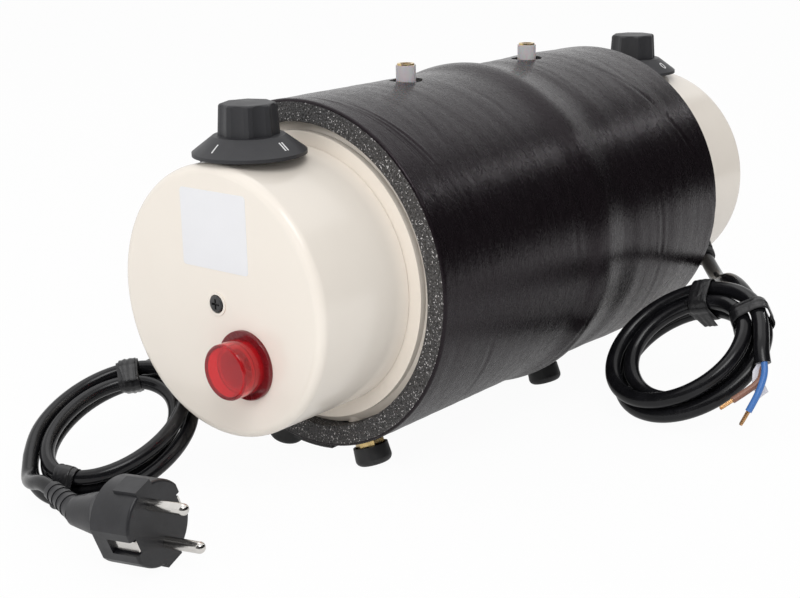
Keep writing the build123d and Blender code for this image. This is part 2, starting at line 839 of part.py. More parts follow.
# Cords. Each free stretch is straight runs joined by tangent arcs, each coil a spiral in arcs.

def stretch_tube(name, points, radius):
    """A tube along a cord's free stretch. It prints the radii of its bends."""
    places = [Vector(*point) for point in points]
    runs = [b - a for a, b in zip(places, places[1:])]
    radii = []
    for before, after in zip(runs, runs[1:]):
        half_turn = math.radians(before.get_angle(after)) / 2
        radii.append(0.45 * min(before.length, after.length) / math.tan(half_turn))
    path = FilletPolyline(*places, radius=radii)
    section = Plane(origin=places[0], z_dir=runs[0]) * Circle(radius)
    tube_body = sweep(section, path=path)
    share = tube_body.volume / (math.pi * radius ** 2 * path.length)
    print(name, "bend radii", [round(value, 1) for value in radii],
          "length", round(path.length, 1), "volume share", round(share, 4))
    return tube_body


def biarc(start, start_way, end, end_way):
    """Two arcs that join two points, tangent to a direction at each."""
    chord = end - start
    ways = start_way + end_way
    spread = 2 * (1 - start_way.dot(end_way))
    lean = chord.dot(ways)
    reach = (math.sqrt(lean ** 2 + spread * chord.dot(chord)) - lean) / spread
    joint = (start + start_way * reach + end - end_way * reach) * 0.5
    joint_way = (end - end_way * reach - start - start_way * reach).normalized()
    return [TangentArc(start, joint, tangent=start_way), TangentArc(joint, end, tangent=joint_way)]


class Coil:
    """An oval coil in two layers. It spirals in on one layer and out again on the other.

    Its places are counted in turns from where the spiral reverses: less than nothing on the way in.
    """

    def __init__(self, centre, lean, heading, twist, inner, stretch, turns_in, turns_out, reversal, radius, side):
        slope, way = math.radians(lean), math.radians(heading)
        normal = Vector(-math.sin(slope) * math.cos(way), -math.sin(slope) * math.sin(way), math.cos(slope))
        uphill = Vector(math.cos(slope) * math.cos(way), math.cos(slope) * math.sin(way), math.sin(slope))
        long_axis = uphill.rotate(Axis((0, 0, 0), normal), twist)
        self.plane = Plane(origin=centre, x_dir=long_axis, z_dir=normal)
        self.inner, self.stretch = inner, stretch
        self.first, self.last = -turns_in, turns_out
        self.reversal, self.radius, self.side = reversal, radius, side
        self.pitch = 2 * radius + coil_turn_gap

    def local(self, turn):
        reach = self.inner + self.pitch * abs(turn)
        climb = min(max(turn * 2 + 0.5, 0.0), 1.0)
        layer = self.side * self.pitch * 0.5 * math.cos(math.pi * climb)
        angle = math.radians(self.reversal) - 2 * math.pi * turn
        return (reach + self.stretch) * math.cos(angle), reach * math.sin(angle), layer

    def point(self, turn):
        return self.plane.from_local_coords(Vector(*self.local(turn)))

    def way(self, turn):
        step = 0.001
        return (self.point(turn + step) - self.point(turn - step)).normalized()

    def ends(self):
        """Where the coil's straight ends stop, one cord diameter beyond its first and last turn."""
        straight = 2 * self.radius
        return (
            self.point(self.first) - self.way(self.first) * straight,
            self.point(self.last) + self.way(self.last) * straight,
        )

    def stations(self):
        """Places a quarter turn apart, counted from the reversal, between the coil's ends."""
        low = math.ceil(self.first * coil_stations + station_margin_share)
        high = math.floor(self.last * coil_stations - station_margin_share)
        return [self.first] + [step / coil_stations for step in range(low, high + 1)] + [self.last]

    def path(self):
        start, stop = self.ends()
        edges = [Line(start, self.point(self.first))]
        stations = self.stations()
        for low, high in zip(stations, stations[1:]):
            edges += biarc(self.point(low), self.way(low), self.point(high), self.way(high))
        edges.append(Line(self.point(self.last), stop))
        return Wire([edge.edge() for edge in edges])

    def solid(self, name):
        path = self.path()
        section = Plane(origin=self.ends()[0], z_dir=self.way(self.first)) * Circle(self.radius)
        body = sweep(section, path=path)
        share = body.volume / (math.pi * self.radius ** 2 * path.length)
        print(name, "length", round(path.length, 1), "volume share", round(share, 4),
              "least gap", round(self.least_gap(path), 2), "lowest", round(body.bounding_box().min.Z, 2))
        return body

    def least_gap(self, path):
        """The least clear distance between turns, measured on points along the path."""
        count = round((self.last - self.first) * gap_samples)
        places = [path.position_at(index / count) for index in range(count + 1)]
        skip = gap_samples // 2
        gaps = [
            (a - b).length
            for index, a in enumerate(places)
            for b in places[index + skip:]
        ]
        return min(gaps) - 2 * self.radius

    def turns_at(self, degrees):
        """Every place on the coil that lies at one angle round it."""
        base_turn = (self.reversal - degrees) / 360.0
        low = math.ceil(self.first - base_turn)
        high = math.floor(self.last - base_turn)
        return [base_turn + step for step in range(low, high + 1)]

    def tie(self, degrees):
        """A band of tape drawn tight round all the strands at one angle of the coil."""
        turns = self.turns_at(degrees)
        strands = [self.point(turn) for turn in turns]
        middle = sum(strands, Vector(0, 0, 0)) / len(strands)
        along = self.way(turns[0])
        place = Plane(origin=middle, x_dir=along.cross(self.plane.z_dir), z_dir=along)
        rings = []
        for slack in (tie_slack + tie_thickness, tie_slack):
            circles = []
            for strand in strands:
                flat = place.to_local_coords(strand)
                circles.append(Pos(flat.X, flat.Y) * Circle(self.radius + slack))
            rings.append(make_hull([circle.edge() for circle in circles]))
        return extrude(place * (rings[0] - rings[1]), tie_width / 2, both=True)


mains_coil = Coil(mains_coil_centre, mains_coil_lean, mains_coil_heading, mains_coil_twist, mains_coil_inner,
                  mains_coil_stretch, mains_coil_turns_in, mains_coil_turns_out, mains_coil_reversal,
                  mains_cord_radius, 1)
cable_coil = Coil(cable_coil_centre, cable_coil_lean, cable_coil_heading, cable_coil_twist, cable_coil_inner,
                  cable_coil_stretch, cable_coil_turns_in, cable_coil_turns_out, cable_coil_reversal,
                  cable_radius, -1)
save("mains_cord_coil", mains_coil.solid("mains_cord_coil"))
save("low_voltage_cable_coil", cable_coil.solid("low_voltage_cable_coil"))
save("mains_coil_ties", Compound([mains_coil.tie(angle) for angle in mains_tie_angles]))
save("low_voltage_coil_ties", Compound([cable_coil.tie(angle) for angle in cable_tie_angles]))


def ringed_taper(start_radius, tip_radius, length, groove_depth):
    """The outline of a taper with flexing rings, from its root to its tip."""
    line = [(0, 0), (start_radius, 0)]
    step = length / (boot_rings + 1)
    half = step * boot_ring_share / 2
    for ring in range(1, boot_rings + 1):
        height = ring * step
        radius = start_radius + (tip_radius - start_radius) * height / length
        groove = radius - groove_depth
        line += [(radius, height - half), (groove, height - half), (groove, height + half), (radius, height + half)]
    return line + [(tip_radius, length), (0, length)]


def cable_boot(place, cord_radius, length, knob_x):
    """A tapered boot outside the cover, with a shank through its wall and a collar inside."""
    taper = ringed_taper(boot_base_radius, cord_radius + boot_tip_extra, length, boot_ring_depth)
    boot = place * revolve(make_face(Plane.XZ * Polyline(*taper, close=True)), Axis.Z)
    boot += peg(place, boot_base_radius, -boot_root, 0)
    drum = Plane(origin=(knob_x, 0, axis_height), z_dir=(1, 0, 0)) * Cylinder(cover_radius, 2 * rear_cover_depth)
    boot -= drum
    boot += peg(place, boot_shank_radius, -boot_shank_length, 0)
    inner_collar = -boot_shank_length - boot_collar_height
    return boot + peg(place, boot_collar_radius, inner_collar, -boot_shank_length)


front_mouth = front_boot.from_local_coords(Vector(0, 0, front_boot_length))
rear_mouth = rear_boot.from_local_coords(Vector(0, 0, rear_boot_length))
save("front_cable_boot", cable_boot(front_boot, mains_cord_radius, front_boot_length, front_knob_x))
save("rear_cable_boot", cable_boot(rear_boot, cable_radius, rear_boot_length, rear_knob_x))


# Plug, its pins, earth contacts and strain relief

def plug_plane():
    heading, pitch, roll = (math.radians(value) for value in (plug_heading, plug_pitch, plug_roll))
    out = Vector(math.cos(pitch) * math.cos(heading), math.cos(pitch) * math.sin(heading), math.sin(pitch))
    level = out.cross(Vector(*up)).normalized()
    upright = level.cross(out)
    return Plane(origin=plug_face, x_dir=upright * math.cos(roll) + level * math.sin(roll), z_dir=out)


plug = plug_plane()
grip_start = -plug_front_length - plug_waist_length
grip_stop = grip_start - plug_grip_length
lift_angle = math.radians(relief_lift)
swing_angle = math.radians(relief_swing)
relief_root = plug.from_local_coords(Vector(0, 0, grip_stop))
relief_way = plug.x_dir * math.sin(lift_angle) - (
    plug.z_dir * math.cos(swing_angle) + plug.y_dir * math.sin(swing_angle)
) * math.cos(lift_angle)
relief_place = Plane(origin=relief_root, x_dir=plug.y_dir, z_dir=relief_way)


def plug_body():
    """A round front with flats, a waist and a flattened grip, with ledges and earth slots."""
    blank = Circle(plug_radius) & Rectangle(2 * plug_radius, plug_width)
    front = Pos(0, 0, -plug_front_length) * extrude(blank, plug_front_length)
    front = fillet(front.faces().sort_by(Axis.Z)[-1].edges(), plug_edge)
    shoulder = Pos(0, 0, -plug_front_length) * Ellipse(plug_radius - plug_edge, plug_width / 2 - plug_edge)
    waist = Pos(0, 0, grip_start) * Ellipse(plug_grip_height / 2, plug_grip_width / 2)
    stop = Pos(0, 0, grip_stop) * Circle(plug_grip_end / 2)
    body = front + loft([shoulder, waist]) + loft([waist, stop])
    for side in (-1, 1):
        ledge_middle = plug_radius + (plug_ledge_rise - plug_ledge_root) / 2
        ledge = Box(plug_ledge_rise + plug_ledge_root, plug_ledge_width, plug_ledge_length, align=base)
        body += Pos(side * ledge_middle, 0, -plug_ledge_length) * ledge
        slot = Box(plug_slot_width, 2 * plug_slot_depth, plug_slot_length + cut_overrun, align=base)
        body -= Pos(0, side * plug_width / 2, -plug_slot_length) * slot
        hole = Cylinder(plug_pin_radius + plug_pin_fit, plug_pin_root + cut_overrun, align=base)
        body -= Pos(side * plug_pin_spacing / 2, 0, -plug_pin_root) * hole
    print("plug body volume", round(body.volume))
    return plug * body


def plug_pin(side):
    pin = Cylinder(plug_pin_radius, plug_pin_root + plug_pin_length - plug_pin_radius, align=base)
    pin += Pos(0, 0, plug_pin_root + plug_pin_length - plug_pin_radius) * Sphere(plug_pin_radius)
    return plug * Pos(side * plug_pin_spacing / 2, 0, -plug_pin_root) * pin


def earth_contact(side):
    """A flat spring contact on the floor of an earth slot."""
    floor = plug_width / 2 - plug_slot_depth
    place = Pos(0, side * (floor + contact_thickness / 2), -plug_slot_length)
    return plug * place * Box(contact_width, contact_thickness, plug_slot_length, align=base)


def plug_relief():
    """A tapered sleeve with flexing rings that carries the cord out of the plug."""
    tip_radius = mains_cord_radius + boot_tip_extra / 2
    taper = ringed_taper(relief_start_radius, tip_radius, relief_taper_length, boot_ring_depth / 2)
    sleeve = relief_place * revolve(make_face(Plane.XZ * Polyline(*taper, close=True)), Axis.Z)
    return sleeve - plug_solid


plug_solid = plug_body()
save("plug_body", plug_solid)
save("plug_pins", Compound([plug_pin(side) for side in (-1, 1)]))
save("plug_earth_contacts", Compound([earth_contact(side) for side in (-1, 1)]))
save("plug_strain_relief", plug_relief())

relief_mouth = relief_place.from_local_coords(Vector(0, 0, relief_taper_length))
plug_end, lead_end = mains_coil.ends()
cable_start, cable_end = cable_coil.ends()
cable_end_way = cable_coil.way(cable_coil.last)
mains_lead_points = [
    front_mouth,
    front_mouth + front_boot.z_dir * mains_lead_run,
    *mains_lead_route,
    lead_end + mains_coil.way(mains_coil.last) * mains_lead_run,
    lead_end,
]
plug_lead_points = [
    relief_mouth,
    relief_mouth + relief_way * plug_lead_first_run,
    *plug_lead_route,
    plug_end - mains_coil.way(mains_coil.first) * plug_lead_last_run,
    plug_end,
]
cable_lead_points = [
    rear_mouth,
    rear_mouth + rear_boot.z_dir * cable_lead_run,
    *cable_lead_route,
    cable_start - cable_coil.way(cable_coil.first) * cable_lead_run,
    cable_start,
]
cable_end_points = [cable_end, cable_end + cable_end_way * cable_end_run, *cable_end_route]
save("mains_cord_lead", stretch_tube("mains_cord_lead", mains_lead_points, mains_cord_radius))
save("mains_cord_plug_lead", stretch_tube("mains_cord_plug_lead", plug_lead_points, mains_cord_radius))
save("low_voltage_cable_lead", stretch_tube("low_voltage_cable_lead", cable_lead_points, cable_radius))
save("low_voltage_cable_end", stretch_tube("low_voltage_cable_end", cable_end_points, cable_radius))


# Bared ends of the low voltage cable

sheath_end = Vector(*cable_end_route[-1])
sheath_way = (sheath_end - Vector(*cable_end_route[-2])).normalized()
sheath_side = sheath_way.cross(Vector(*up)).normalized()
sheath_front = sheath_side.cross(sheath_way)
strands = []
for name, route, side in (("blue_wire", blue_wire_route, 1), ("brown_wire", brown_wire_route, -1)):
    wire_start = sheath_end + sheath_front * side * wire_spacing
    points = [wire_start, wire_start + sheath_way * wire_run, *route]
    save(name, stretch_tube(name, points, wire_radius))
    tip = Vector(*route[-1])
    tip_way = (tip - Vector(*route[-2])).normalized()
    strands.append(Plane(origin=tip, z_dir=tip_way) * Cylinder(strand_radius, strand_length, align=base))
save("wire_strands", Compound(strands))
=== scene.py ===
import json
import math
import random

import bmesh
import bpy
import numpy as np
from mathutils import Matrix, Vector, geometry


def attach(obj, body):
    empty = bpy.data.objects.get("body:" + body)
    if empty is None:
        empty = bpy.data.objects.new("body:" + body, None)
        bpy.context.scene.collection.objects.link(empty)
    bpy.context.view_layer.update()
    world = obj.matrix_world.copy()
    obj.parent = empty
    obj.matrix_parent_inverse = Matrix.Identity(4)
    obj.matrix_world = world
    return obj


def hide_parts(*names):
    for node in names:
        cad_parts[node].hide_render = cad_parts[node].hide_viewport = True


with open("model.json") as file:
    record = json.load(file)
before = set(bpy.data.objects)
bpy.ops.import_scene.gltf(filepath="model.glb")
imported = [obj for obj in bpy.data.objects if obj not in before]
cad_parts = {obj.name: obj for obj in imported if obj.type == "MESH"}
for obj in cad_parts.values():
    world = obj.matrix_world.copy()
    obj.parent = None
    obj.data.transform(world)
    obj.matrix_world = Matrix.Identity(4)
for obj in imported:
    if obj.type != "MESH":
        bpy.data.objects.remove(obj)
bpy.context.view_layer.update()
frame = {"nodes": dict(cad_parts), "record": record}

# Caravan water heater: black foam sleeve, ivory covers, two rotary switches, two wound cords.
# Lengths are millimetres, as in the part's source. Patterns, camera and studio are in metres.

dice = random.Random(7)

AXIS_HEIGHT = 89.0
COVER_RADIUS = 59.7
SLEEVE_START, SLEEVE_STOP = -121.3, 117.9
SLEEVE_BORE, SLEEVE_RADIUS = 70.0, 80.0
PIPE_PLACES = (-46.9, 53.4)
FOOT_PLACES = (-109.0, 32.0)
FOOT_TILT = 18.0
PIPE_HOLE, FOOT_HOLE = 7.9, 7.3
MAINS_RADIUS, CABLE_RADIUS = 3.3, 3.9


# Materials

def maths(tree, operation, first, second):
    """A value made from two others, each a number or the output of a node."""
    step = tree.nodes.new("ShaderNodeMath")
    step.operation = operation
    for socket, value in zip(step.inputs, (first, second)):
        if isinstance(value, (int, float)):
            socket.default_value = value
        else:
            tree.links.new(value, socket)
    return step.outputs[0]


class Paint:
    """A procedural material whose patterns are laid out in metres on the object."""

    def __init__(self, name, colour, roughness, **sockets):
        self.material = bpy.data.materials.new(name)
        self.material.use_nodes = True
        self.tree = self.material.node_tree
        self.shader = self.tree.nodes["Principled BSDF"]
        self.set("Base Color", (*colour, 1.0))
        self.set("Roughness", roughness)
        for socket, value in sockets.items():
            self.set(socket.replace("_", " "), value)
        self.normal = None

    def set(self, socket, value):
        self.shader.inputs[socket].default_value = value

    def node(self, kind):
        return self.tree.nodes.new("ShaderNode" + kind)

    def link(self, source, target):
        self.tree.links.new(source, target)

    def maths(self, operation, first, second):
        return maths(self.tree, operation, first, second)

    def texture(self, kind, stretch):
        """A texture in object space, with each axis stretched by its own count per metre."""
        mapping = self.node("Mapping")
        mapping.inputs["Scale"].default_value = stretch
        self.link(self.node("TexCoord").outputs["Object"], mapping.inputs["Vector"])
        made = self.node(kind)
        made.inputs["Scale"].default_value = 1.0
        self.link(mapping.outputs["Vector"], made.inputs["Vector"])
        return made

    def noise(self, stretch, detail=3.0, rough=0.5, distortion=0.0):
        clouds = self.texture("TexNoise", stretch)
        clouds.inputs["Detail"].default_value = detail
        clouds.inputs["Roughness"].default_value = rough
        clouds.inputs["Distortion"].default_value = distortion
        return clouds.outputs["Fac"]

    def cells(self, stretch):
        """Distance to the nearest of many scattered points, as in open foam."""
        return self.texture("TexVoronoi", stretch).outputs["Distance"]

    def span(self, value, low, high, to_low=0.0, to_high=1.0):
        """Stretches a value's middle range to a new range."""
        scaler = self.node("MapRange")
        for key, number in zip(("From Min", "From Max", "To Min", "To Max"), (low, high, to_low, to_high)):
            scaler.inputs[key].default_value = number
        self.link(value, scaler.inputs["Value"])
        return scaler.outputs["Result"]

    def tint(self, share, first, second):
        """Colours the surface between two colours."""
        mixer = self.node("Mix")
        mixer.data_type = "RGBA"
        sockets = {socket.identifier: socket for socket in mixer.inputs}
        outlets = {socket.identifier: socket for socket in mixer.outputs}
        sockets["A_Color"].default_value = (*first, 1.0)
        sockets["B_Color"].default_value = (*second, 1.0)
        self.link(share, sockets["Factor_Float"])
        self.link(outlets["Result_Color"], self.shader.inputs["Base Color"])

    def gloss(self, pattern, least, most, low=0.3, high=0.7):
        """Lets the roughness follow the middle range of a pattern."""
        self.link(self.span(pattern, low, high, least, most), self.shader.inputs["Roughness"])

    def bump(self, height, distance, strength=1.0):
        """Adds relief, with its height in metres."""
        relief = self.node("Bump")
        relief.inputs["Strength"].default_value = strength
        relief.inputs["Distance"].default_value = distance
        self.link(height, relief.inputs["Height"])
        if self.normal is not None:
            self.link(self.normal, relief.inputs["Normal"])
        self.normal = relief.outputs["Normal"]
        self.link(self.normal, self.shader.inputs["Normal"])


def moulded(name, light, dark, roughness, grain=0.000006, **sockets):
    """Moulded plastic with faint clouding, a fine orange peel and scuffs in its gloss."""
    paint = Paint(name, light, roughness, **sockets)
    paint.tint(paint.noise((30, 30, 30), detail=4), dark, light)
    paint.gloss(paint.noise((90, 90, 90), detail=3), least=roughness * 0.9, most=roughness * 1.12)
    paint.bump(paint.noise((700, 700, 700), detail=2), grain)
    return paint


def metal(name, light, dark, roughness, lay=(2500, 200, 200)):
    """Turned or drawn metal with fine tool marks and a little tarnish."""
    paint = Paint(name, light, roughness, Metallic=1.0)
    paint.tint(paint.noise((180, 180, 180), detail=4), dark, light)
    paint.gloss(paint.noise((300, 300, 300), detail=5), least=roughness * 0.7, most=roughness * 1.4)
    paint.bump(paint.noise(lay, detail=3), 0.00001)
    return paint


def soft_black(name, colour, worn, roughness, grain=0.00004, **sockets):
    """Black rubber or vinyl with a fine tooth and dusty, less glossy patches."""
    paint = Paint(name, colour, roughness, **sockets)
    paint.tint(paint.span(paint.noise((90, 90, 90), detail=6, rough=0.7), 0.45, 0.75), colour, worn)
    paint.gloss(paint.noise((160, 160, 160), detail=4), least=roughness * 0.8, most=roughness * 1.25)
    paint.bump(paint.noise((1100, 1100, 1100), detail=3, rough=0.6), grain)
    return paint


def foam_skin():
    """The sleeve's extruded skin, drawn into fine crinkles that run round the tank."""
    paint = Paint("foam_skin", (0.006, 0.005, 0.006), 0.23, Specular_IOR_Level=0.25,
                  Specular_Tint=(1.0, 0.87, 0.95, 1.0))
    paint.tint(paint.noise((260, 60, 60), detail=5, rough=0.6),
               (0.004, 0.0028, 0.0036), (0.0105, 0.0078, 0.0095))
    paint.gloss(paint.noise((700, 260, 260), detail=4), least=0.18, most=0.32)
    crinkle = paint.noise((800, 170, 170), detail=4, rough=0.65, distortion=0.5)
    ridge = paint.maths("ABSOLUTE", paint.maths("SUBTRACT", crinkle, 0.5), 0.0)
    paint.bump(ridge, 0.0008, strength=0.34)
    paint.bump(paint.noise((1500, 420, 420), detail=2, rough=0.6), 0.00016, strength=0.7)
    return paint


def foam_cut():
    """The sleeve's cut end: charcoal grain, with painted glints as bright specks in its colour where open
    cells catch the light.
    """
    paint = Paint("foam_cut", (0.05, 0.045, 0.05), 0.5)
    grain = paint.span(paint.noise((900, 900, 900), detail=4, rough=0.75), 0.4, 0.7)
    # Painted glints: near-white specks in the colour that stand for light caught by open cells, mixed below
    # with the foam's own grain tone.
    spark = paint.span(paint.noise((1250, 1250, 1250), detail=1), 0.64, 0.7)
    light = paint.maths("MAXIMUM", paint.maths("MULTIPLY", grain, 0.2), spark)
    paint.tint(light, (0.007, 0.0065, 0.007), (0.6, 0.58, 0.58))
    paint.gloss(paint.noise((900, 900, 900), detail=2), least=0.3, most=0.75, low=0.35, high=0.65)
    paint.bump(paint.cells((1000, 1000, 1000)), 0.0008, strength=0.9)
    paint.bump(paint.noise((420, 420, 420), detail=4, rough=0.7), 0.0008, strength=0.8)
    return paint


def cord_jacket():
    """Smooth, glossy sheath that waves a little along the cord."""
    paint = soft_black("cord_jacket", (0.006, 0.006, 0.007), (0.012, 0.012, 0.014), 0.2, grain=0.00001,
                       Specular_IOR_Level=0.33)
    paint.bump(paint.noise((120, 120, 120), detail=2), 0.0002, strength=0.5)
    return paint


def vinyl_tape():
    """Thin black tape with small creases."""
    paint = soft_black("vinyl_tape", (0.009, 0.009, 0.01), (0.02, 0.019, 0.021), 0.3, grain=0.00002)
    paint.bump(paint.noise((260, 420, 260), detail=3, distortion=0.8), 0.0004, strength=0.7)
    return paint


def red_lens():
    paint = Paint("lens_plastic", (0.93, 0.05, 0.07), 0.04, IOR=1.46, Transmission_Weight=0.84)
    paint.bump(paint.noise((400, 400, 400), detail=1), 0.00001)
    paint.tint(paint.noise((60, 60, 60), detail=2), (0.9, 0.04, 0.06), (0.96, 0.07, 0.09))
    return paint


def clear_bulb():
    paint = Paint("bulb_glass", (0.95, 0.85, 0.75), 0.05, IOR=1.5, Transmission_Weight=0.9)
    paint.tint(paint.noise((300, 300, 300), detail=2), (0.9, 0.75, 0.6), (1.0, 0.93, 0.85))
    return paint


def milky_pipe():
    return moulded("white_plastic", (0.6, 0.57, 0.585), (0.53, 0.5, 0.515), 0.36,
                   Subsurface_Weight=0.35, Subsurface_Scale=0.002)


PAINTS = {  # a colour, its second shade and its roughness
    "cover_plastic": moulded("cover_plastic", (0.87, 0.81, 0.73), (0.85, 0.785, 0.705), 0.19),
    "tank_plastic": moulded("tank_plastic", (0.87, 0.8, 0.715), (0.84, 0.765, 0.675), 0.19),
    "foam": foam_skin(),
    "tape": vinyl_tape(),
    "knob_plastic": moulded("knob_plastic", (0.026, 0.026, 0.029), (0.02, 0.02, 0.023), 0.5, grain=0.00004),
    "lens_plastic": red_lens(),
    "white_plastic": milky_pipe(),
    "inner_plastic": moulded("inner_plastic", (0.14, 0.14, 0.14), (0.1, 0.1, 0.1), 0.5),
    "bulb_glass": clear_bulb(),
    "brass": metal("brass", (0.82, 0.62, 0.3), (0.66, 0.47, 0.2), 0.24),
    "steel": metal("steel", (0.62, 0.61, 0.6), (0.5, 0.49, 0.48), 0.3),
    "black_steel": soft_black("black_steel", (0.025, 0.025, 0.026), (0.06, 0.058, 0.055), 0.4),
    "nickel": metal("nickel", (0.76, 0.74, 0.71), (0.62, 0.6, 0.57), 0.17, lay=(300, 2200, 300)),
    "rubber": soft_black("rubber", (0.014, 0.014, 0.015), (0.03, 0.03, 0.031), 0.42, grain=0.00006),
    "cord_sheath": cord_jacket(),
    "plug_plastic": soft_black("plug_plastic", (0.011, 0.011, 0.013), (0.02, 0.02, 0.023), 0.34),
    "blue_insulation": moulded("blue_insulation", (0.07, 0.2, 0.52), (0.05, 0.16, 0.45), 0.36),
    "brown_insulation": moulded("brown_insulation", (0.3, 0.15, 0.1), (0.24, 0.11, 0.075), 0.38),
    "copper": metal("copper", (0.86, 0.55, 0.28), (0.72, 0.42, 0.2), 0.26),
}
for entry in frame["record"]["subparts"]:
    for slot in frame["nodes"][entry["node"]].material_slots:
        slot.material = PAINTS[entry["material_slot"]].material
LAMP_PAINT = moulded("lamp_reflector", (0.62, 0.6, 0.58), (0.55, 0.53, 0.5), 0.4)
frame["nodes"]["lamp_holder"].material_slots[0].material = LAMP_PAINT.material


# Camera, fitted to the photograph

EYE = (-0.5849, -0.4388, 0.2605)  # metres
YAW, PITCH, ROLL = 39.60, 16.03, -1.10
LENS, SENSOR = 65.81, 36.0


def sine_cosine(degrees):
    return math.sin(math.radians(degrees)), math.cos(math.radians(degrees))


def add_object(name, data):
    """A new object in the scene."""
    piece = bpy.data.objects.new(name, data)
    bpy.context.scene.collection.objects.link(piece)
    return piece


def set_camera():
    sin_yaw, cos_yaw = sine_cosine(YAW)
    sin_pitch, cos_pitch = sine_cosine(PITCH)
    sin_roll, cos_roll = sine_cosine(ROLL)
    ahead = Vector((cos_pitch * cos_yaw, cos_pitch * sin_yaw, -sin_pitch))
    level = Vector((sin_yaw, -cos_yaw, 0.0))
    above = level.cross(ahead)
    across = level * cos_roll + above * sin_roll
    upward = above * cos_roll - level * sin_roll
    lens = bpy.data.cameras.new("camera")
    lens.lens, lens.sensor_width = LENS, SENSOR
    eye = add_object("camera", lens)
    turned = Matrix((across, upward, -ahead)).transposed().to_4x4()
    eye.matrix_world = Matrix.Translation(EYE) @ turned
    bpy.context.scene.camera = eye


set_camera()


# Cords

STRAND_GAP = 0.9  # between neighbouring strands of a coil
TURN_POINTS = 16
WAY_STEP = 0.001  # turns, for reading a coil's direction
CORD_STEPS, CORD_ROUNDNESS = 8, 9

PLUG_FACE = Vector((-241.5, -30.6, 20.4))
PLUG_HEADING, PLUG_PITCH, PLUG_ROLL = -83.3, 6.0, 18.5
PLUG_LENGTH = 45.0  # from its face to the strain relief's root
RELIEF_LIFT, RELIEF_SWING, RELIEF_LENGTH = 8.0, 20.0, 20.0

MAINS_EXIT_RUN, PLUG_LEAD_RUN, RELIEF_RUN = 11.4, 10.0, 8.4
CABLE_EXIT_RUN, CABLE_END_RUN = 15.9, 5.0
SHEATH_BEND = Vector((31.8, -150.4, 40.9))
SHEATH_END = Vector((29.8, -152.5, 36.8))

WIRE_RADIUS, WIRE_OFFSET = 1.6, 1.85
WIRE_INSIDE, WIRE_STRAIGHT = 1.0, 4.0
BLUE_POINTS = [(22.4, -155.6, 27.9), (18.2, -154.7, 22.0), (15.2, -153.2, 17.1)]
BROWN_POINTS = [(25.6, -152.8, 28.4), (19.9, -148.8, 24.3), (14.8, -145.2, 21.1)]

STRAND_RADIUS, STRAND_PITCH, STRAND_LENGTH, STRAND_ROOT = 0.19, 0.42, 7.5, 0.8
STRAND_COUNT, STRAND_STEPS, STRAND_ROUNDNESS = 19, 4, 2
STRAND_TWIST, STRAND_TAPER_SHARE = 1.5, 0.12
STRAND_SPLAY, STRAND_TRIM = (0.85, 1.12), (0, 0.7)  # from least to most

PAPER_LINE = [(29.9, -152.3, 37.8), (28.3, -151.2, 33.0), (27.0, -151.6, 29.0),
              (27.2, -152.8, 25.6), (27.6, -154.6, 21.9)]
PAPER_HALVES = [(1.5, -1.5, 0.0), (2.0, -1.9, -0.5), (2.0, -1.8, 0.6), (2.2, -1.6, 1.0), (2.1, -1.5, 1.6)]
PAPER_CURL, PAPER_THICKNESS = 0.5, 0.12
PAPER_STEPS, PAPER_STATIONS = 24, 6


class Coil:
    """An oval coil in two layers, counted in turns from the place where its spiral reverses."""

    def __init__(self, centre, lean, heading, twist, inner, stretch,
                 turns_in, turns_out, reversal, radius, side):
        sin_lean, cos_lean = sine_cosine(lean)
        sin_way, cos_way = sine_cosine(heading)
        self.centre = Vector(centre)
        self.normal = Vector((-sin_lean * cos_way, -sin_lean * sin_way, cos_lean))
        uphill = Vector((cos_lean * cos_way, cos_lean * sin_way, sin_lean))
        self.long_axis = Matrix.Rotation(math.radians(twist), 3, self.normal) @ uphill
        self.short_axis = self.normal.cross(self.long_axis)
        self.inner, self.stretch = inner, stretch
        self.first, self.last = -turns_in, turns_out
        self.reversal, self.radius, self.side = reversal, radius, side
        self.pitch = 2 * radius + STRAND_GAP

    def point(self, turn, widen=1.0):
        reach = (self.inner + self.pitch * abs(turn)) * widen
        climb = min(max(turn * 2 + 0.5, 0.0), 1.0)
        layer = self.side * self.pitch * 0.5 * math.cos(math.pi * climb)
        angle = math.radians(self.reversal) - 2 * math.pi * turn
        return (self.centre + self.long_axis * ((reach + self.stretch * widen) * math.cos(angle))
                + self.short_axis * (reach * math.sin(angle)) + self.normal * layer)

    def way(self, turn):
        return (self.point(turn + WAY_STEP) - self.point(turn - WAY_STEP)).normalized()

    def start(self):
        return self.point(self.first) - self.way(self.first) * 2 * self.radius

    def stop(self):
        return self.point(self.last) + self.way(self.last) * 2 * self.radius

    def turns(self):
        """Control points, which stand a little outside the coil, because the spline cuts inside them."""
        count = math.floor((self.last - self.first) * TURN_POINTS)
        step = (self.last - self.first) / count
        # An order 3 spline passes its control points at (3 + cos step) / 4 of their distance.
        widen = 4 / (3 + math.cos(2 * math.pi * step))
        inner = [self.point(self.first + step * index, widen) for index in range(1, count)]
        return [self.point(self.first), *inner, self.point(self.last)]

    def turns_at(self, degrees):
        """Where the coil's strands pass one angle round it, in turns."""
        base_turn = (self.reversal - degrees) / 360
        low, high = math.ceil(self.first - base_turn), math.floor(self.last - base_turn)
        return [base_turn + step for step in range(low, high + 1)]


def boot_mouth(x, round_angle, lean, length):
    """Where a cord leaves its boot, and which way it points."""
    sin_round, cos_round = sine_cosine(round_angle)
    sin_lean, cos_lean = sine_cosine(lean)
    outward = Vector((0, sin_round, cos_round))
    way = outward * cos_lean - Vector((sin_lean, 0, 0))
    return Vector((x, 0, AXIS_HEIGHT)) + outward * COVER_RADIUS + way * length, way


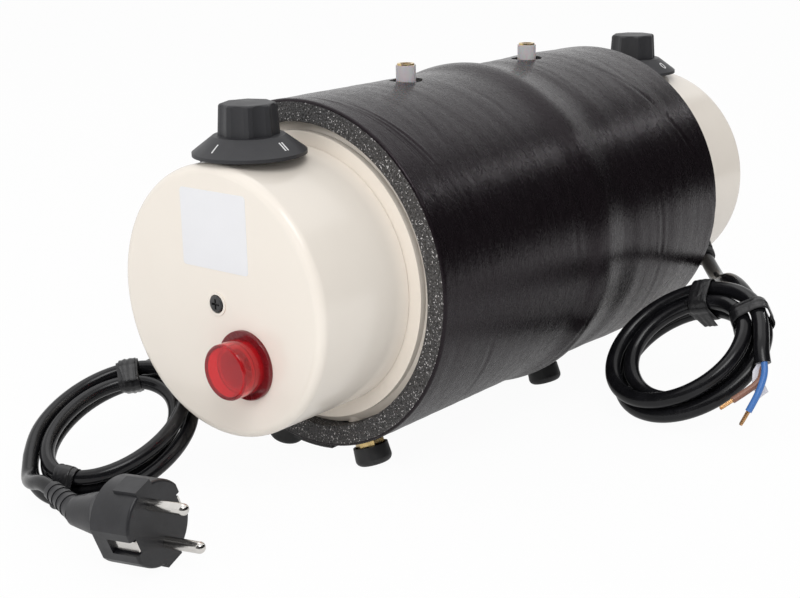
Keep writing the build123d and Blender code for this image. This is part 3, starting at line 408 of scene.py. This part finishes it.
def plug_axes():
    """The plug's own axes, the last one out of its face."""
    sin_head, cos_head = sine_cosine(PLUG_HEADING)
    sin_pitch, cos_pitch = sine_cosine(PLUG_PITCH)
    sin_roll, cos_roll = sine_cosine(PLUG_ROLL)
    out = Vector((cos_pitch * cos_head, cos_pitch * sin_head, sin_pitch))
    level = out.cross(Vector((0, 0, 1))).normalized()
    upright = level.cross(out)
    across = upright * cos_roll + level * sin_roll
    return across, out.cross(across), out


def relief_end():
    """The mouth of the plug's strain relief, and which way it points."""
    x_axis, y_axis, z_axis = plug_axes()
    sin_lift, cos_lift = sine_cosine(RELIEF_LIFT)
    sin_swing, cos_swing = sine_cosine(RELIEF_SWING)
    way = x_axis * sin_lift - (z_axis * cos_swing + y_axis * sin_swing) * cos_lift
    return PLUG_FACE - z_axis * PLUG_LENGTH + way * RELIEF_LENGTH, way


def round_curve(name, radius, roundness):
    """An empty curve with a round section and closed ends."""
    line = bpy.data.curves.new(name, "CURVE")
    line.dimensions = "3D"
    line.bevel_depth = radius / 1000
    line.bevel_resolution = roundness
    line.use_fill_caps = True
    return line


def add_spline(line, points):
    """A smooth run of a curve, from its control points."""
    spline = line.splines.new("NURBS")
    spline.points.add(len(points) - 1)
    for place, point in zip(spline.points, points):
        place.co = (*(Vector(point) / 1000), 1.0)
    spline.order_u = 3
    spline.use_endpoint_u = True
    return spline


def tube(name, points, radius, paint):
    """A round cord on one smooth spline."""
    line = round_curve(name, radius, CORD_ROUNDNESS)
    line.resolution_u = CORD_STEPS
    add_spline(line, points).resolution_u = CORD_STEPS
    line.materials.append(PAINTS[paint].material)
    return add_object(name, line)


def mesh_piece(name, points, faces, paint, smooth=True):
    mesh = bpy.data.meshes.new(name)
    mesh.from_pydata([tuple(Vector(point) / 1000) for point in points], [], faces)
    mesh.validate()
    mesh.materials.append(paint.material)
    mesh.polygons.foreach_set("use_smooth", [smooth] * len(mesh.polygons))
    return add_object(name, mesh)


def grid_faces(rows, columns):
    """Four-sided faces over rows of points."""
    return [(row * columns + column, row * columns + column + 1,
             (row + 1) * columns + column + 1, (row + 1) * columns + column)
            for row in range(rows - 1) for column in range(columns - 1)]


def thicken(piece, thickness):
    solid = piece.modifiers.new("thickness", "SOLIDIFY")
    solid.thickness = thickness / 1000
    return solid


def dress(piece, slot, *replaced, body="heater"):
    """Gives a piece its body and hides the nodes that it stands for. Its slot is not used."""
    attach(piece, body)
    if replaced:
        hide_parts(*replaced)
    return piece


mains_coil = Coil(centre=(-191.7, 54.6, 24.7), lean=21.9, heading=23.3, twist=-15.0,
                  inner=22.3, stretch=9.5, turns_in=1.38, turns_out=1.75, reversal=0.0,
                  radius=MAINS_RADIUS, side=1)
cable_coil = Coil(centre=(35.0, -108.3, 32.3), lean=38.0, heading=-11.9, twist=-30.0,
                  inner=23.0, stretch=5.0, turns_in=1.5, turns_out=1.57, reversal=180.0,
                  radius=CABLE_RADIUS, side=-1)
front_mouth, front_way = boot_mouth(x=-139.5, round_angle=123.2, lean=17.4, length=24.0)
rear_mouth, rear_way = boot_mouth(x=145.7, round_angle=242.4, lean=38.3, length=20.0)
relief_mouth, relief_way = relief_end()

mains_route = [
    front_mouth,
    front_mouth + front_way * MAINS_EXIT_RUN,
    (-157.6, 86.4, 34.4),
    (-168.1, 91.3, 33.2),
    mains_coil.stop() + mains_coil.way(mains_coil.last) * MAINS_EXIT_RUN,
    mains_coil.stop(),
    *reversed(mains_coil.turns()),
    mains_coil.start(),
    mains_coil.start() - mains_coil.way(mains_coil.first) * PLUG_LEAD_RUN,
    (-240.8, 50.5, 16.6),
    relief_mouth + relief_way * RELIEF_RUN,
    relief_mouth,
]
cable_route = [
    rear_mouth,
    rear_mouth + rear_way * CABLE_EXIT_RUN,
    (110.7, -88.2, 48.2),
    (97.8, -96.4, 53.1),
    (85.9, -105.7, 58.1),
    cable_coil.start() - cable_coil.way(cable_coil.first) * CABLE_EXIT_RUN,
    cable_coil.start(),
    *cable_coil.turns(),
    cable_coil.stop(),
    cable_coil.stop() + cable_coil.way(cable_coil.last) * CABLE_END_RUN,
    SHEATH_BEND,
    SHEATH_END,
]
mains_cord = dress(tube("mains_cord", mains_route, MAINS_RADIUS, "cord_sheath"), "cord_sheath",
                   "mains_cord_lead", "mains_cord_coil", "mains_cord_plug_lead")
cable = dress(tube("low_voltage_cable", cable_route, CABLE_RADIUS, "cord_sheath"), "cord_sheath",
              "low_voltage_cable_lead", "low_voltage_cable_coil", "low_voltage_cable_end")

sheath_way = (SHEATH_END - SHEATH_BEND).normalized()
wire_front = sheath_way.cross(Vector((0, 0, 1))).normalized().cross(sheath_way)


def wire(name, side, points, paint):
    start = SHEATH_END + wire_front * WIRE_OFFSET * side
    route = [start - sheath_way * WIRE_INSIDE, start + sheath_way * WIRE_STRAIGHT, *points]
    return dress(tube(name + "_core", route, WIRE_RADIUS, paint), paint, name + "_wire")


def strand_bundle():
    """Bare copper ends: fine strands in two rings round one, twisted and a little splayed."""
    line = round_curve("wire_strands", STRAND_RADIUS, STRAND_ROUNDNESS)
    for points in (BLUE_POINTS, BROWN_POINTS):
        tip, way = Vector(points[-1]), (Vector(points[-1]) - Vector(points[-2])).normalized()
        side = way.cross(Vector((0, 0, 1))).normalized()
        other = way.cross(side)
        for index in range(STRAND_COUNT):
            ring = 0 if index == 0 else 1 if index < 7 else 2
            angle = index * math.tau / (6 if index < 7 else 12)
            splay = dice.uniform(*STRAND_SPLAY)
            trim = dice.uniform(*STRAND_TRIM)
            strand = []
            for step in range(STRAND_STEPS + 1):
                share = step / STRAND_STEPS
                turned = angle + share * STRAND_TWIST
                reach = ring * STRAND_PITCH * (1 + (splay - 1) * share) * (1 - STRAND_TAPER_SHARE * share)
                length = STRAND_LENGTH * share
                if step == 0:
                    length -= STRAND_ROOT
                if step == STRAND_STEPS:
                    length -= trim
                outward = side * math.cos(turned) + other * math.sin(turned)
                strand.append(tip + way * length + outward * reach)
            add_spline(line, strand)
    line.materials.append(PAINTS["copper"].material)
    return dress(add_object("copper_strands", line), "copper", "wire_strands")


def paper_filler():
    """The strip of thin paper that lay between the two wires, left hanging from the sheath's end."""
    points = []
    for step in range(PAPER_STEPS + 1):
        place = step / PAPER_STEPS * (len(PAPER_LINE) - 1)
        index = min(int(place), len(PAPER_LINE) - 2)
        share = place - index
        centre = Vector(PAPER_LINE[index]).lerp(Vector(PAPER_LINE[index + 1]), share)
        half = Vector(PAPER_HALVES[index]).lerp(Vector(PAPER_HALVES[index + 1]), share)
        curl = half.cross(sheath_way).normalized() * PAPER_CURL
        for station in range(PAPER_STATIONS + 1):
            side = 2 * station / PAPER_STATIONS - 1
            points.append(centre + half * side + curl * side * side)
    paint = moulded("filler_paper", (0.78, 0.77, 0.82), (0.7, 0.69, 0.75), 0.6)
    piece = mesh_piece("paper_filler", points, grid_faces(PAPER_STEPS + 1, PAPER_STATIONS + 1), paint)
    thicken(piece, PAPER_THICKNESS)
    return dress(piece, "white_plastic")


blue_wire = wire("blue", 1, BLUE_POINTS, "blue_insulation")
brown_wire = wire("brown", -1, BROWN_POINTS, "brown_insulation")
strands = strand_bundle()
filler = paper_filler()


# Tape round the coils

TIE_STEPS = 120  # round the strands
TIE_STATIONS = 13  # across the tape
STRAND_SIDES = 36
TAPE_THICKNESS, TAPE_CLEARANCE, TAPE_LOWEST = 0.28, 0.45, 0.6
TAPE_REST, TAPE_STACK, TAPE_LEAST_STACK = 0.25, 0.42, 0.12  # first height, and growth with each turn
PLEAT_DEPTH, EDGE_FALL, EDGE_WAVE = 0.32, 0.25, 0.3
TAPE_SWAY, TAPE_DRIFT = 1.1, 1.2
SWAY_ANGLE, EDGE_ANGLE = 5.2, 0.21  # radians, for the whole band and for a step
TAIL_STEPS, TAIL_RISE, TAIL_SPREAD, TAIL_PLEAT, TAIL_DRIFT = 9, 1.2, 1.9, 0.4, 1.5
TAIL_STRIDE, TAIL_TAPER_SHARE = 6, 0.25  # steps of the wrap's pleats in one step of the tail


def resample(outline, count):
    """Points at equal distances round a closed outline."""
    ring = [*outline, outline[0]]
    lengths = np.cumsum([0.0] + [(b - a).length for a, b in zip(ring, ring[1:])])
    wanted = np.linspace(0, lengths[-1], count, endpoint=False)
    xs = np.interp(wanted, lengths, [point.x for point in ring])
    ys = np.interp(wanted, lengths, [point.y for point in ring])
    return [Vector((x, y)) for x, y in zip(xs, ys)]


def bundle_outline(coil, marks, middle, across, upward):
    """A tight line round the strands, in the plane that cuts them square."""
    reach = coil.radius + TAPE_CLEARANCE
    circles = []
    for mark in marks:
        strand = coil.point(mark) - middle
        for step in range(STRAND_SIDES):
            sine, cosine = sine_cosine(360 / STRAND_SIDES * step)
            circles.append(Vector((strand.dot(across) + reach * cosine, strand.dot(upward) + reach * sine)))
    return resample([circles[index] for index in geometry.convex_hull_2d(circles)], TIE_STEPS)


def tie_band(name, coil, degrees, tail_way, width=7.6, turns=2.15, tail=11.0, seed=1):
    """A strip of soft tape wound round the strands, gathered into pleats, with one loose end."""
    luck = random.Random(seed)
    marks = coil.turns_at(degrees)
    middle = sum((coil.point(mark) for mark in marks), Vector()) / len(marks)
    along = coil.way(marks[0])
    across = along.cross(coil.normal).normalized()
    upward = along.cross(across)
    outline = bundle_outline(coil, marks, middle, across, upward)
    # Pleats: waves across the tape, their start, and how far each turn moves them, in radians.
    waves = [(luck.uniform(1.2, 4.0), luck.uniform(0, math.tau), luck.uniform(2, 7)) for _ in range(5)]
    aim = Vector(tail_way)
    first = min(range(TIE_STEPS), key=lambda index: (outline[index] - aim).length)
    count = int(TIE_STEPS * turns)
    shares = [station / (TIE_STATIONS - 1) - 0.5 for station in range(TIE_STATIONS)]
    points = []

    def pleat(share, wound):
        heights = [math.sin(share * rate * math.tau + phase + wound * swing) for rate, phase, swing in waves]
        return sum(heights) / len(waves)

    def add_point(flat, sideways):
        point = middle + across * flat.x + upward * flat.y + along * sideways
        point.z = max(point.z, TAPE_LOWEST)
        points.append(point)

    for index in range(count + 1):
        before, here, after = (outline[(first + index + step - count) % TIE_STEPS] for step in (-1, 0, 1))
        run = (after - before).normalized()
        outward = Vector((run.y, -run.x))
        if outward.dot(here) < 0:
            outward = -outward
        drift = TAPE_SWAY * math.sin(index / count * SWAY_ANGLE + seed) + (index / count - 0.5) * TAPE_DRIFT
        wound = index / TIE_STEPS
        for share in shares:
            edge = EDGE_WAVE * math.sin(index * EDGE_ANGLE + seed) * (2 * abs(share))
            lift = TAPE_REST + TAPE_STACK * wound + PLEAT_DEPTH * pleat(share, wound)
            lift -= EDGE_FALL * (2 * share) ** 2
            add_point(here + outward * max(lift, TAPE_LEAST_STACK * wound), share * (width + edge) + drift)
    # The tail leaves from the last step of the wrap.
    for step in range(1, TAIL_STEPS + 1):
        out = step / TAIL_STEPS
        wound = (count + step * TAIL_STRIDE) / TIE_STEPS
        narrow = width * (1 - TAIL_TAPER_SHARE * out)
        for share in shares:
            rise = TAIL_RISE + TAIL_SPREAD * out + TAIL_PLEAT * pleat(share, wound)
            add_point(here + run * tail * out + outward * rise, share * narrow + drift + TAIL_DRIFT * out)
    faces = grid_faces(count + 1 + TAIL_STEPS, TIE_STATIONS)
    piece = mesh_piece(name, points, faces, PAINTS["tape"])
    thicken(piece, TAPE_THICKNESS).offset = 0
    return piece


ties = [
    tie_band("mains_tie_inner", mains_coil, 187, tail_way=(0, 9), tail=5.0, seed=3),
    tie_band("mains_tie_outer", mains_coil, 33, tail_way=(0, -9), seed=5),
    tie_band("cable_tie_rear", cable_coil, -9, tail_way=(9, 0), seed=8),
    tie_band("cable_tie_lead", cable_coil, 50, tail_way=(9, 0), width=9.6, seed=11),
]
for tie in ties[:2]:
    dress(tie, "tape", "mains_coil_ties")
for tie in ties[2:]:
    dress(tie, "tape", "low_voltage_coil_ties")


# Foam sleeve

SLEEVE_COLUMNS = 420
FINE_ROWS, PLAIN_ROWS, BORE_ROWS, EDGE_STEPS = 70, 150, 16, 5
FINE_STOP = -92.0  # the narrow creases near the front end need closer rows
SLEEVE_EDGE = 1.3  # radius of the rims
BORE_INSET = 0.4
REAR_FACE_SHARES = (0.85, 0.6, 0.3, 0.08)
FRONT_FACE_SHARES = (0.06, 0.2, 0.35, 0.5, 0.65, 0.8, 0.92)
HOLE_MIDDLE, HOLE_DEPTH, HOLE_SIDES = 76.0, 30.0, 64
LIP_PLACE, LIP_WIDTH, LIP_HEIGHT_SHARE = 2.2, 1.2, 0.35  # the first two in half widths of a crease

HUMPS = [(2.6, 3.5, 40, 1.2), (-0.7, 28, 24, 1.0), (0.6, 76, 60, 1.0)]  # height, place, length, sharpness
# Place along the tank, angle from the top towards the camera, half length, half width, depth, slope
CREASES = [
    (-113.0, 14, 14, 0.4, 0.22, 0.10), (-111.4, 22, 22, 0.4, 0.32, 0.12), (-109.4, 27, 26, 0.4, 0.3, 0.15),
    (-107.2, 32, 24, 0.45, 0.34, 0.17), (-104.8, 30, 20, 0.5, 0.28, 0.18), (-101.8, 40, 20, 0.55, 0.22, 0.2),
    (-84, 35, 16, 1.1, 0.22, -0.2), (-30, 28, 14, 1.4, 0.15, 0.1), (38, 15, 20, 1.4, 0.15, -0.1),
    (96, 60, 36, 1.3, 0.6, 0.45), (85, 20, 18, 1.3, 0.15, -0.1), (-90, 75, 24, 1.2, 0.25, 0.1),
    (-20, 85, 22, 1.3, 0.2, 0.0), (60, 95, 30, 1.3, 0.4, 0.1), (-100, -30, 24, 1.2, 0.7, 0.2),
    (-60, -60, 26, 1.2, 0.5, -0.2), (20, -50, 26, 1.3, 0.5, 0.2), (70, -35, 30, 1.3, 0.6, -0.1),
    (95, -90, 28, 1.2, 0.5, 0.1), (-80, 120, 26, 1.2, 0.4, 0.1), (0, 130, 26, 1.2, 0.4, -0.1),
    (80, 150, 26, 1.2, 0.4, 0.1), (-40, -120, 26, 1.2, 0.4, 0.1), (50, -140, 26, 1.2, 0.4, -0.1),
    (-95, -160, 26, 1.2, 0.4, 0.1),
]
RIPPLES = [  # waves along the tank and round it, start, height
    (dice.uniform(0.1, 0.9), dice.choice((-7, -5, -4, -3, -2, 2, 3, 4, 5, 7)), dice.uniform(0, math.tau),
     dice.uniform(0.006, 0.026)) for _ in range(14)]


def hump(x, centre, length):
    """A smooth rise from nothing at both ends to one in the middle."""
    share = np.clip(np.abs(x - centre) / (length / 2), 0, 1)
    return 0.5 + 0.5 * np.cos(np.pi * share)


def skin_radius(x, angle):
    """The sleeve's outer radius at a place along it and an angle in radians from the top."""
    radius = SLEEVE_RADIUS
    for height, centre, length, sharpness in HUMPS:
        radius = radius + height * hump(x, centre, length) ** sharpness
    for place, degrees, half_length, half_width, depth, slope in CREASES:
        turn = (angle - math.radians(degrees) + np.pi) % (2 * np.pi) - np.pi
        run = turn * SLEEVE_RADIUS
        off = (x - place - slope * run) / half_width
        fade = np.exp(-(run / half_length) ** 2)
        lips = np.exp(-((np.abs(off) - LIP_PLACE) / LIP_WIDTH) ** 2)
        radius = radius - depth * np.exp(-off ** 2) * fade + LIP_HEIGHT_SHARE * depth * lips * fade
    for rate_x, rate_a, phase, size in RIPPLES:
        radius = radius + size * np.sin(x * rate_x + angle * rate_a + phase)
    return radius


def sleeve_rows():
    """Rings round the tank in order: place, kind, and a ring's pull from the skin or share of the wall."""
    front, rear = SLEEVE_START + SLEEVE_EDGE, SLEEVE_STOP - SLEEVE_EDGE
    bends = []
    for step in range(1, EDGE_STEPS + 1):
        sine, cosine = sine_cosine(90 / EDGE_STEPS * step)
        bends.append((SLEEVE_EDGE * sine, SLEEVE_EDGE * (1 - cosine)))
    bore = np.linspace(SLEEVE_STOP - BORE_INSET, SLEEVE_START + BORE_INSET, BORE_ROWS)
    rows = [(x, "skin", 0.0) for x in np.linspace(front, FINE_STOP, FINE_ROWS, endpoint=False)]
    rows += [(x, "skin", 0.0) for x in np.linspace(FINE_STOP, rear, PLAIN_ROWS)]
    rows += [(rear + reach, "skin", pull) for reach, pull in bends]
    rows += [(SLEEVE_STOP, "face", share) for share in REAR_FACE_SHARES]
    rows += [(x, "bore", 0.0) for x in bore]
    rows += [(SLEEVE_START, "face", share) for share in FRONT_FACE_SHARES]
    rows += [(front - reach, "skin", pull) for reach, pull in reversed(bends)]
    return rows


def ring_radius(x, kind, value, angles):
    if kind == "bore":
        return np.full(SLEEVE_COLUMNS, SLEEVE_BORE)
    skin = skin_radius(np.full(SLEEVE_COLUMNS, x), angles)
    if kind == "skin":
        return skin - value
    return SLEEVE_BORE + (skin - SLEEVE_EDGE - SLEEVE_BORE) * value


def make_sleeve():
    """The sleeve as one closed skin, whose cut ends and bore have their own material."""
    rows = sleeve_rows()
    angles = np.linspace(-np.pi, np.pi, SLEEVE_COLUMNS, endpoint=False)
    places = np.zeros((len(rows), SLEEVE_COLUMNS, 3))
    for index, (x, kind, value) in enumerate(rows):
        radius = ring_radius(x, kind, value, angles)
        places[index, :, 0] = x
        places[index, :, 1] = -radius * np.sin(angles)
        places[index, :, 2] = AXIS_HEIGHT + radius * np.cos(angles)
    faces, kinds = [], []
    for row in range(len(rows)):
        after = (row + 1) % len(rows)
        cut = rows[row][1] != "skin" or rows[after][1] != "skin"
        here, there = row * SLEEVE_COLUMNS, after * SLEEVE_COLUMNS
        for column in range(SLEEVE_COLUMNS):
            beside = (column + 1) % SLEEVE_COLUMNS
            faces.append((here + column, here + beside, there + beside, there + column))
            kinds.append(int(cut))
    mesh = bpy.data.meshes.new("foam_sleeve_skin")
    mesh.from_pydata((places.reshape(-1, 3) / 1000).tolist(), [], faces)
    mesh.materials.append(PAINTS["foam"].material)
    mesh.materials.append(foam_cut().material)
    mesh.polygons.foreach_set("material_index", kinds)
    mesh.polygons.foreach_set("use_smooth", [True] * len(mesh.polygons))
    piece = add_object("foam_sleeve_skin", mesh)
    build = bmesh.new()
    build.from_mesh(mesh)
    bmesh.ops.recalc_face_normals(build, faces=build.faces)
    build.to_mesh(mesh)
    build.free()
    return piece


def cut_holes(piece):
    """Bores the sleeve where the pipes and the feet go through it."""
    tools = bmesh.new()
    holes = [(x, 0.0, PIPE_HOLE) for x in PIPE_PLACES]
    holes += [(x, 180 - side * FOOT_TILT, FOOT_HOLE) for x in FOOT_PLACES for side in (-1, 1)]
    for x, degrees, radius in holes:
        turned = Matrix.Rotation(math.radians(degrees), 4, "X")
        spot = Vector((x, 0, AXIS_HEIGHT)) / 1000 + turned @ Vector((0, 0, HOLE_MIDDLE / 1000))
        bmesh.ops.create_cone(tools, cap_ends=True, segments=HOLE_SIDES, radius1=radius / 1000,
                              radius2=radius / 1000, depth=HOLE_DEPTH / 1000,
                              matrix=Matrix.Translation(spot) @ turned)
    mesh = bpy.data.meshes.new("bores")
    tools.to_mesh(mesh)
    tools.free()
    mesh.materials.append(piece.data.materials[1])
    cutter = add_object("bores", mesh)
    cut = piece.modifiers.new("bores", "BOOLEAN")
    cut.object = cutter
    cut.operation = "DIFFERENCE"
    cut.solver = "EXACT"
    cut.material_mode = "TRANSFER"
    bpy.context.view_layer.update()
    shaped = bpy.data.meshes.new_from_object(piece.evaluated_get(bpy.context.evaluated_depsgraph_get()))
    piece.modifiers.clear()
    piece.data = shaped
    bpy.data.objects.remove(cutter)


sleeve = make_sleeve()
cut_holes(sleeve)
dress(sleeve, "foam", "foam_sleeve")


# Bare label plate and the marks on the knobs

LABEL_FACE, LABEL_THICKNESS, MARK_THICKNESS = -175.9, 0.14, 0.16
FRONT_KNOB_X, REAR_KNOB_X = -152.4, 161.5
KNOB_BASE, SKIRT_RADIUS, CONE_TOP_RADIUS, SKIRT_RIM, SKIRT_RISE = 149.8, 24.5, 15.5, 1.5, 8.3
MARK_LOW, MARK_HIGH, MARK_STROKE = 3.2, 8.0, 0.62  # up the skirt's cone
PAIR_OFFSET, OVAL_WIDTH, OVAL_STEPS = 0.75, 3.2, 28

LABEL_PAINT = Paint("label_white", (0.81, 0.81, 0.83), 0.25)
LABEL_PAINT.tint(LABEL_PAINT.noise((60, 60, 60), detail=3), (0.79, 0.79, 0.81), (0.83, 0.83, 0.85))
LABEL_PAINT.bump(LABEL_PAINT.noise((500, 500, 500), detail=2), 0.00001)
MARK_PAINT = Paint("mark_white", (0.8, 0.8, 0.8), 0.45)
MARK_PAINT.tint(MARK_PAINT.noise((900, 900, 900), detail=3), (0.68, 0.68, 0.68), (0.85, 0.85, 0.85))
MARK_PAINT.bump(MARK_PAINT.noise((2000, 2000, 2000), detail=2), 0.00002)


def slab(outline, place, thickness):
    """Points and faces of a thin plate. place turns a point of the outline and a height into space."""
    count = len(outline)
    points = [place(a, b, 0.0) for a, b in outline] + [place(a, b, thickness) for a, b in outline]
    faces = [tuple(range(count, 2 * count)), tuple(reversed(range(count)))]
    for index in range(count):
        after = (index + 1) % count
        faces.append((index, after, count + after, count + index))
    return points, faces


def rounded(low_a, low_b, high_a, high_b, radius, steps=6):
    """A rectangle with round corners."""
    corners = [(high_a - radius, high_b - radius, 0), (low_a + radius, high_b - radius, 90),
               (low_a + radius, low_b + radius, 180), (high_a - radius, low_b + radius, 270)]
    outline = []
    for a, b, start in corners:
        for step in range(steps + 1):
            sine, cosine = sine_cosine(start + 90 * step / steps)
            outline.append((a + radius * cosine, b + radius * sine))
    return outline


def make_label():
    outline = rounded(low_a=-19.5, low_b=103.9, high_a=19.2, high_b=137.6, radius=1.6)
    points, faces = slab(outline, lambda y, z, rise: (LABEL_FACE - rise, y, z), LABEL_THICKNESS)
    return dress(mesh_piece("label_plate", points, faces, LABEL_PAINT, smooth=False), "cover_plastic")


def knob_marks(name, knob_x, marks, body):
    """White marks on a knob's skirt. Each is a set of strokes at one angle round it."""
    slant = math.hypot(SKIRT_RADIUS - CONE_TOP_RADIUS, SKIRT_RISE - SKIRT_RIM)
    fall, climb = (SKIRT_RADIUS - CONE_TOP_RADIUS) / slant, (SKIRT_RISE - SKIRT_RIM) / slant
    points, faces = [], []
    for degrees, strokes in marks:
        sine, cosine = sine_cosine(degrees)
        outward, beside = Vector((cosine, sine, 0)), Vector((-sine, cosine, 0))

        def on_cone(a, b, lift):
            radius = SKIRT_RADIUS - fall * b
            turn = a / radius
            out = outward * math.cos(turn) + beside * math.sin(turn)
            return (Vector((knob_x, 0, KNOB_BASE + SKIRT_RIM + climb * b)) + out * radius
                    + (out * climb + Vector((0, 0, fall))) * lift)

        for outline in strokes:
            more, sides = slab(outline, on_cone, MARK_THICKNESS)
            sides = [tuple(index + len(points) for index in side) for side in sides]
            points += more
            faces += sides
    return dress(mesh_piece(name, points, faces, MARK_PAINT, smooth=False), "knob_plastic", body=body)


def bar(offset):
    left, right = offset - MARK_STROKE / 2, offset + MARK_STROKE / 2
    return [(left, MARK_LOW), (left, MARK_HIGH), (right, MARK_HIGH), (right, MARK_LOW)]


def oval():
    """An upright oval ring in short pieces, each a four-sided stroke."""
    middle, half = (MARK_LOW + MARK_HIGH) / 2, (MARK_HIGH - MARK_LOW) / 2
    pieces = []
    for step in range(OVAL_STEPS):
        corners = []
        for angle, inset in ((step, 0), (step + 1, 0), (step + 1, MARK_STROKE), (step, MARK_STROKE)):
            sine, cosine = sine_cosine(angle * 360 / OVAL_STEPS)
            corners.append(((OVAL_WIDTH / 2 - inset) * cosine, middle + (half - inset) * sine))
        pieces.append(corners)
    return pieces


one, two, off = [bar(0)], [bar(-PAIR_OFFSET), bar(PAIR_OFFSET)], oval()
make_label()
knob_marks("front_knob_marks", FRONT_KNOB_X, [(180, one), (270, two), (90, off)], "front_knob_body")
knob_marks("rear_knob_marks", REAR_KNOB_X, [(270, off), (0, one)], "rear_knob_body")


# Floor, studio and lights

FLOOR_HALF, FLOOR_DROP = 6.0, 0.0002  # metres
FLOOR_WHITENESS, FLOOR_IN_GLOSS = 0.96, 0.4
WORLD_ON_OBJECT, WORLD_SEEN = 0.55, 1.0
CARD_START, CARD_STOP, CARD_RADIUS, CARD_HEIGHT, CARD_STEPS = -200, -3, 1.0, 0.92, 48
WHITE = (1, 1, 1, 1)


def blank_tree(owner):
    """The emptied node tree of a material or a world."""
    owner.use_nodes = True
    owner.node_tree.nodes.clear()
    return owner.node_tree


def stage_floor():
    """A pale floor that keeps the object's shadow and looks nearly white to the camera."""
    signs = ((-1, -1), (1, -1), (1, 1), (-1, 1))
    corners = [(x * FLOOR_HALF, y * FLOOR_HALF, -FLOOR_DROP) for x, y in signs]
    mesh = bpy.data.meshes.new("floor")
    mesh.from_pydata(corners, [], [(0, 1, 2, 3)])
    paint = bpy.data.materials.new("floor_white")
    tree = blank_tree(paint)
    rays = tree.nodes.new("ShaderNodeLightPath").outputs
    paper = tree.nodes.new("ShaderNodeBsdfDiffuse")
    paper.inputs["Color"].default_value = (0.9, 0.9, 0.9, 1)
    glow = tree.nodes.new("ShaderNodeEmission")
    glow.inputs["Color"].default_value = WHITE
    glow.inputs["Strength"].default_value = 1.0
    seen = maths(tree, "MAXIMUM", rays["Is Camera Ray"], rays["Is Transmission Ray"])
    mirrored = maths(tree, "MULTIPLY", rays["Is Glossy Ray"], FLOOR_IN_GLOSS)
    share = maths(tree, "MULTIPLY", maths(tree, "MAXIMUM", seen, mirrored), FLOOR_WHITENESS)
    mix = tree.nodes.new("ShaderNodeMixShader")
    tree.links.new(share, mix.inputs["Fac"])
    tree.links.new(paper.outputs[0], mix.inputs[1])
    tree.links.new(glow.outputs[0], mix.inputs[2])
    tree.links.new(mix.outputs[0], tree.nodes.new("ShaderNodeOutputMaterial").inputs["Surface"])
    mesh.materials.append(paint)
    piece = add_object("floor", mesh)


def stage_card():
    """A dark studio card at the side, seen only in gloss, that gives the black parts their shape."""
    points = []
    for step in range(CARD_STEPS + 1):
        sine, cosine = sine_cosine(CARD_START + (CARD_STOP - CARD_START) * step / CARD_STEPS)
        points += [(CARD_RADIUS * cosine, CARD_RADIUS * sine, height) for height in (0.0, CARD_HEIGHT)]
    faces = [(first, first + 2, first + 3, first + 1) for first in range(0, 2 * CARD_STEPS, 2)]
    mesh = bpy.data.meshes.new("dark_card")
    mesh.from_pydata(points, [], faces)
    paint = Paint("card_black", (0.02, 0.02, 0.02), 1.0, Specular_IOR_Level=0.0)
    mesh.materials.append(paint.material)
    piece = add_object("dark_card", mesh)
    piece.visible_camera = piece.visible_diffuse = piece.visible_transmission = piece.visible_shadow = False


def area_light(name, place, target, size, power):
    lamp = bpy.data.lights.new(name, "AREA")
    lamp.shape = "DISK"
    lamp.size = size
    lamp.energy = power
    lit = add_object(name, lamp)
    lit.location = place
    lit.rotation_euler = (Vector(target) - Vector(place)).to_track_quat("-Z", "Y").to_euler()


def set_world():
    """White to the camera and in glass and gloss, and softer as light on the object."""
    world = bpy.data.worlds.new("studio")
    bpy.context.scene.world = world
    tree = blank_tree(world)
    rays = tree.nodes.new("ShaderNodeLightPath").outputs
    back = tree.nodes.new("ShaderNodeBackground")
    back.inputs["Color"].default_value = WHITE
    seen = maths(tree, "MAXIMUM", rays["Is Camera Ray"], rays["Is Glossy Ray"])
    level = tree.nodes.new("ShaderNodeMapRange")
    level.inputs["To Min"].default_value = WORLD_ON_OBJECT
    level.inputs["To Max"].default_value = WORLD_SEEN
    tree.links.new(maths(tree, "MAXIMUM", seen, rays["Is Transmission Ray"]), level.inputs["Value"])
    tree.links.new(level.outputs["Result"], back.inputs["Strength"])
    tree.links.new(back.outputs[0], tree.nodes.new("ShaderNodeOutputWorld").inputs["Surface"])


stage_floor()
stage_card()
area_light("key", place=(-0.9, -0.9, 1.5), target=(0, 0, 0.08), size=1.0, power=11.0)
area_light("front", place=(-1.7, -0.1, 0.6), target=(-0.2, 0, 0.08), size=1.1, power=7.0)
area_light("top", place=(0.3, 0.5, 1.6), target=(0, 0, 0.08), size=1.2, power=3.0)
area_light("spark", place=(0.74, -0.33, 0.53), target=(-0.05, -0.05, 0.12), size=0.07, power=0.3)
set_world()
bpy.context.scene.view_settings.view_transform = "Standard"
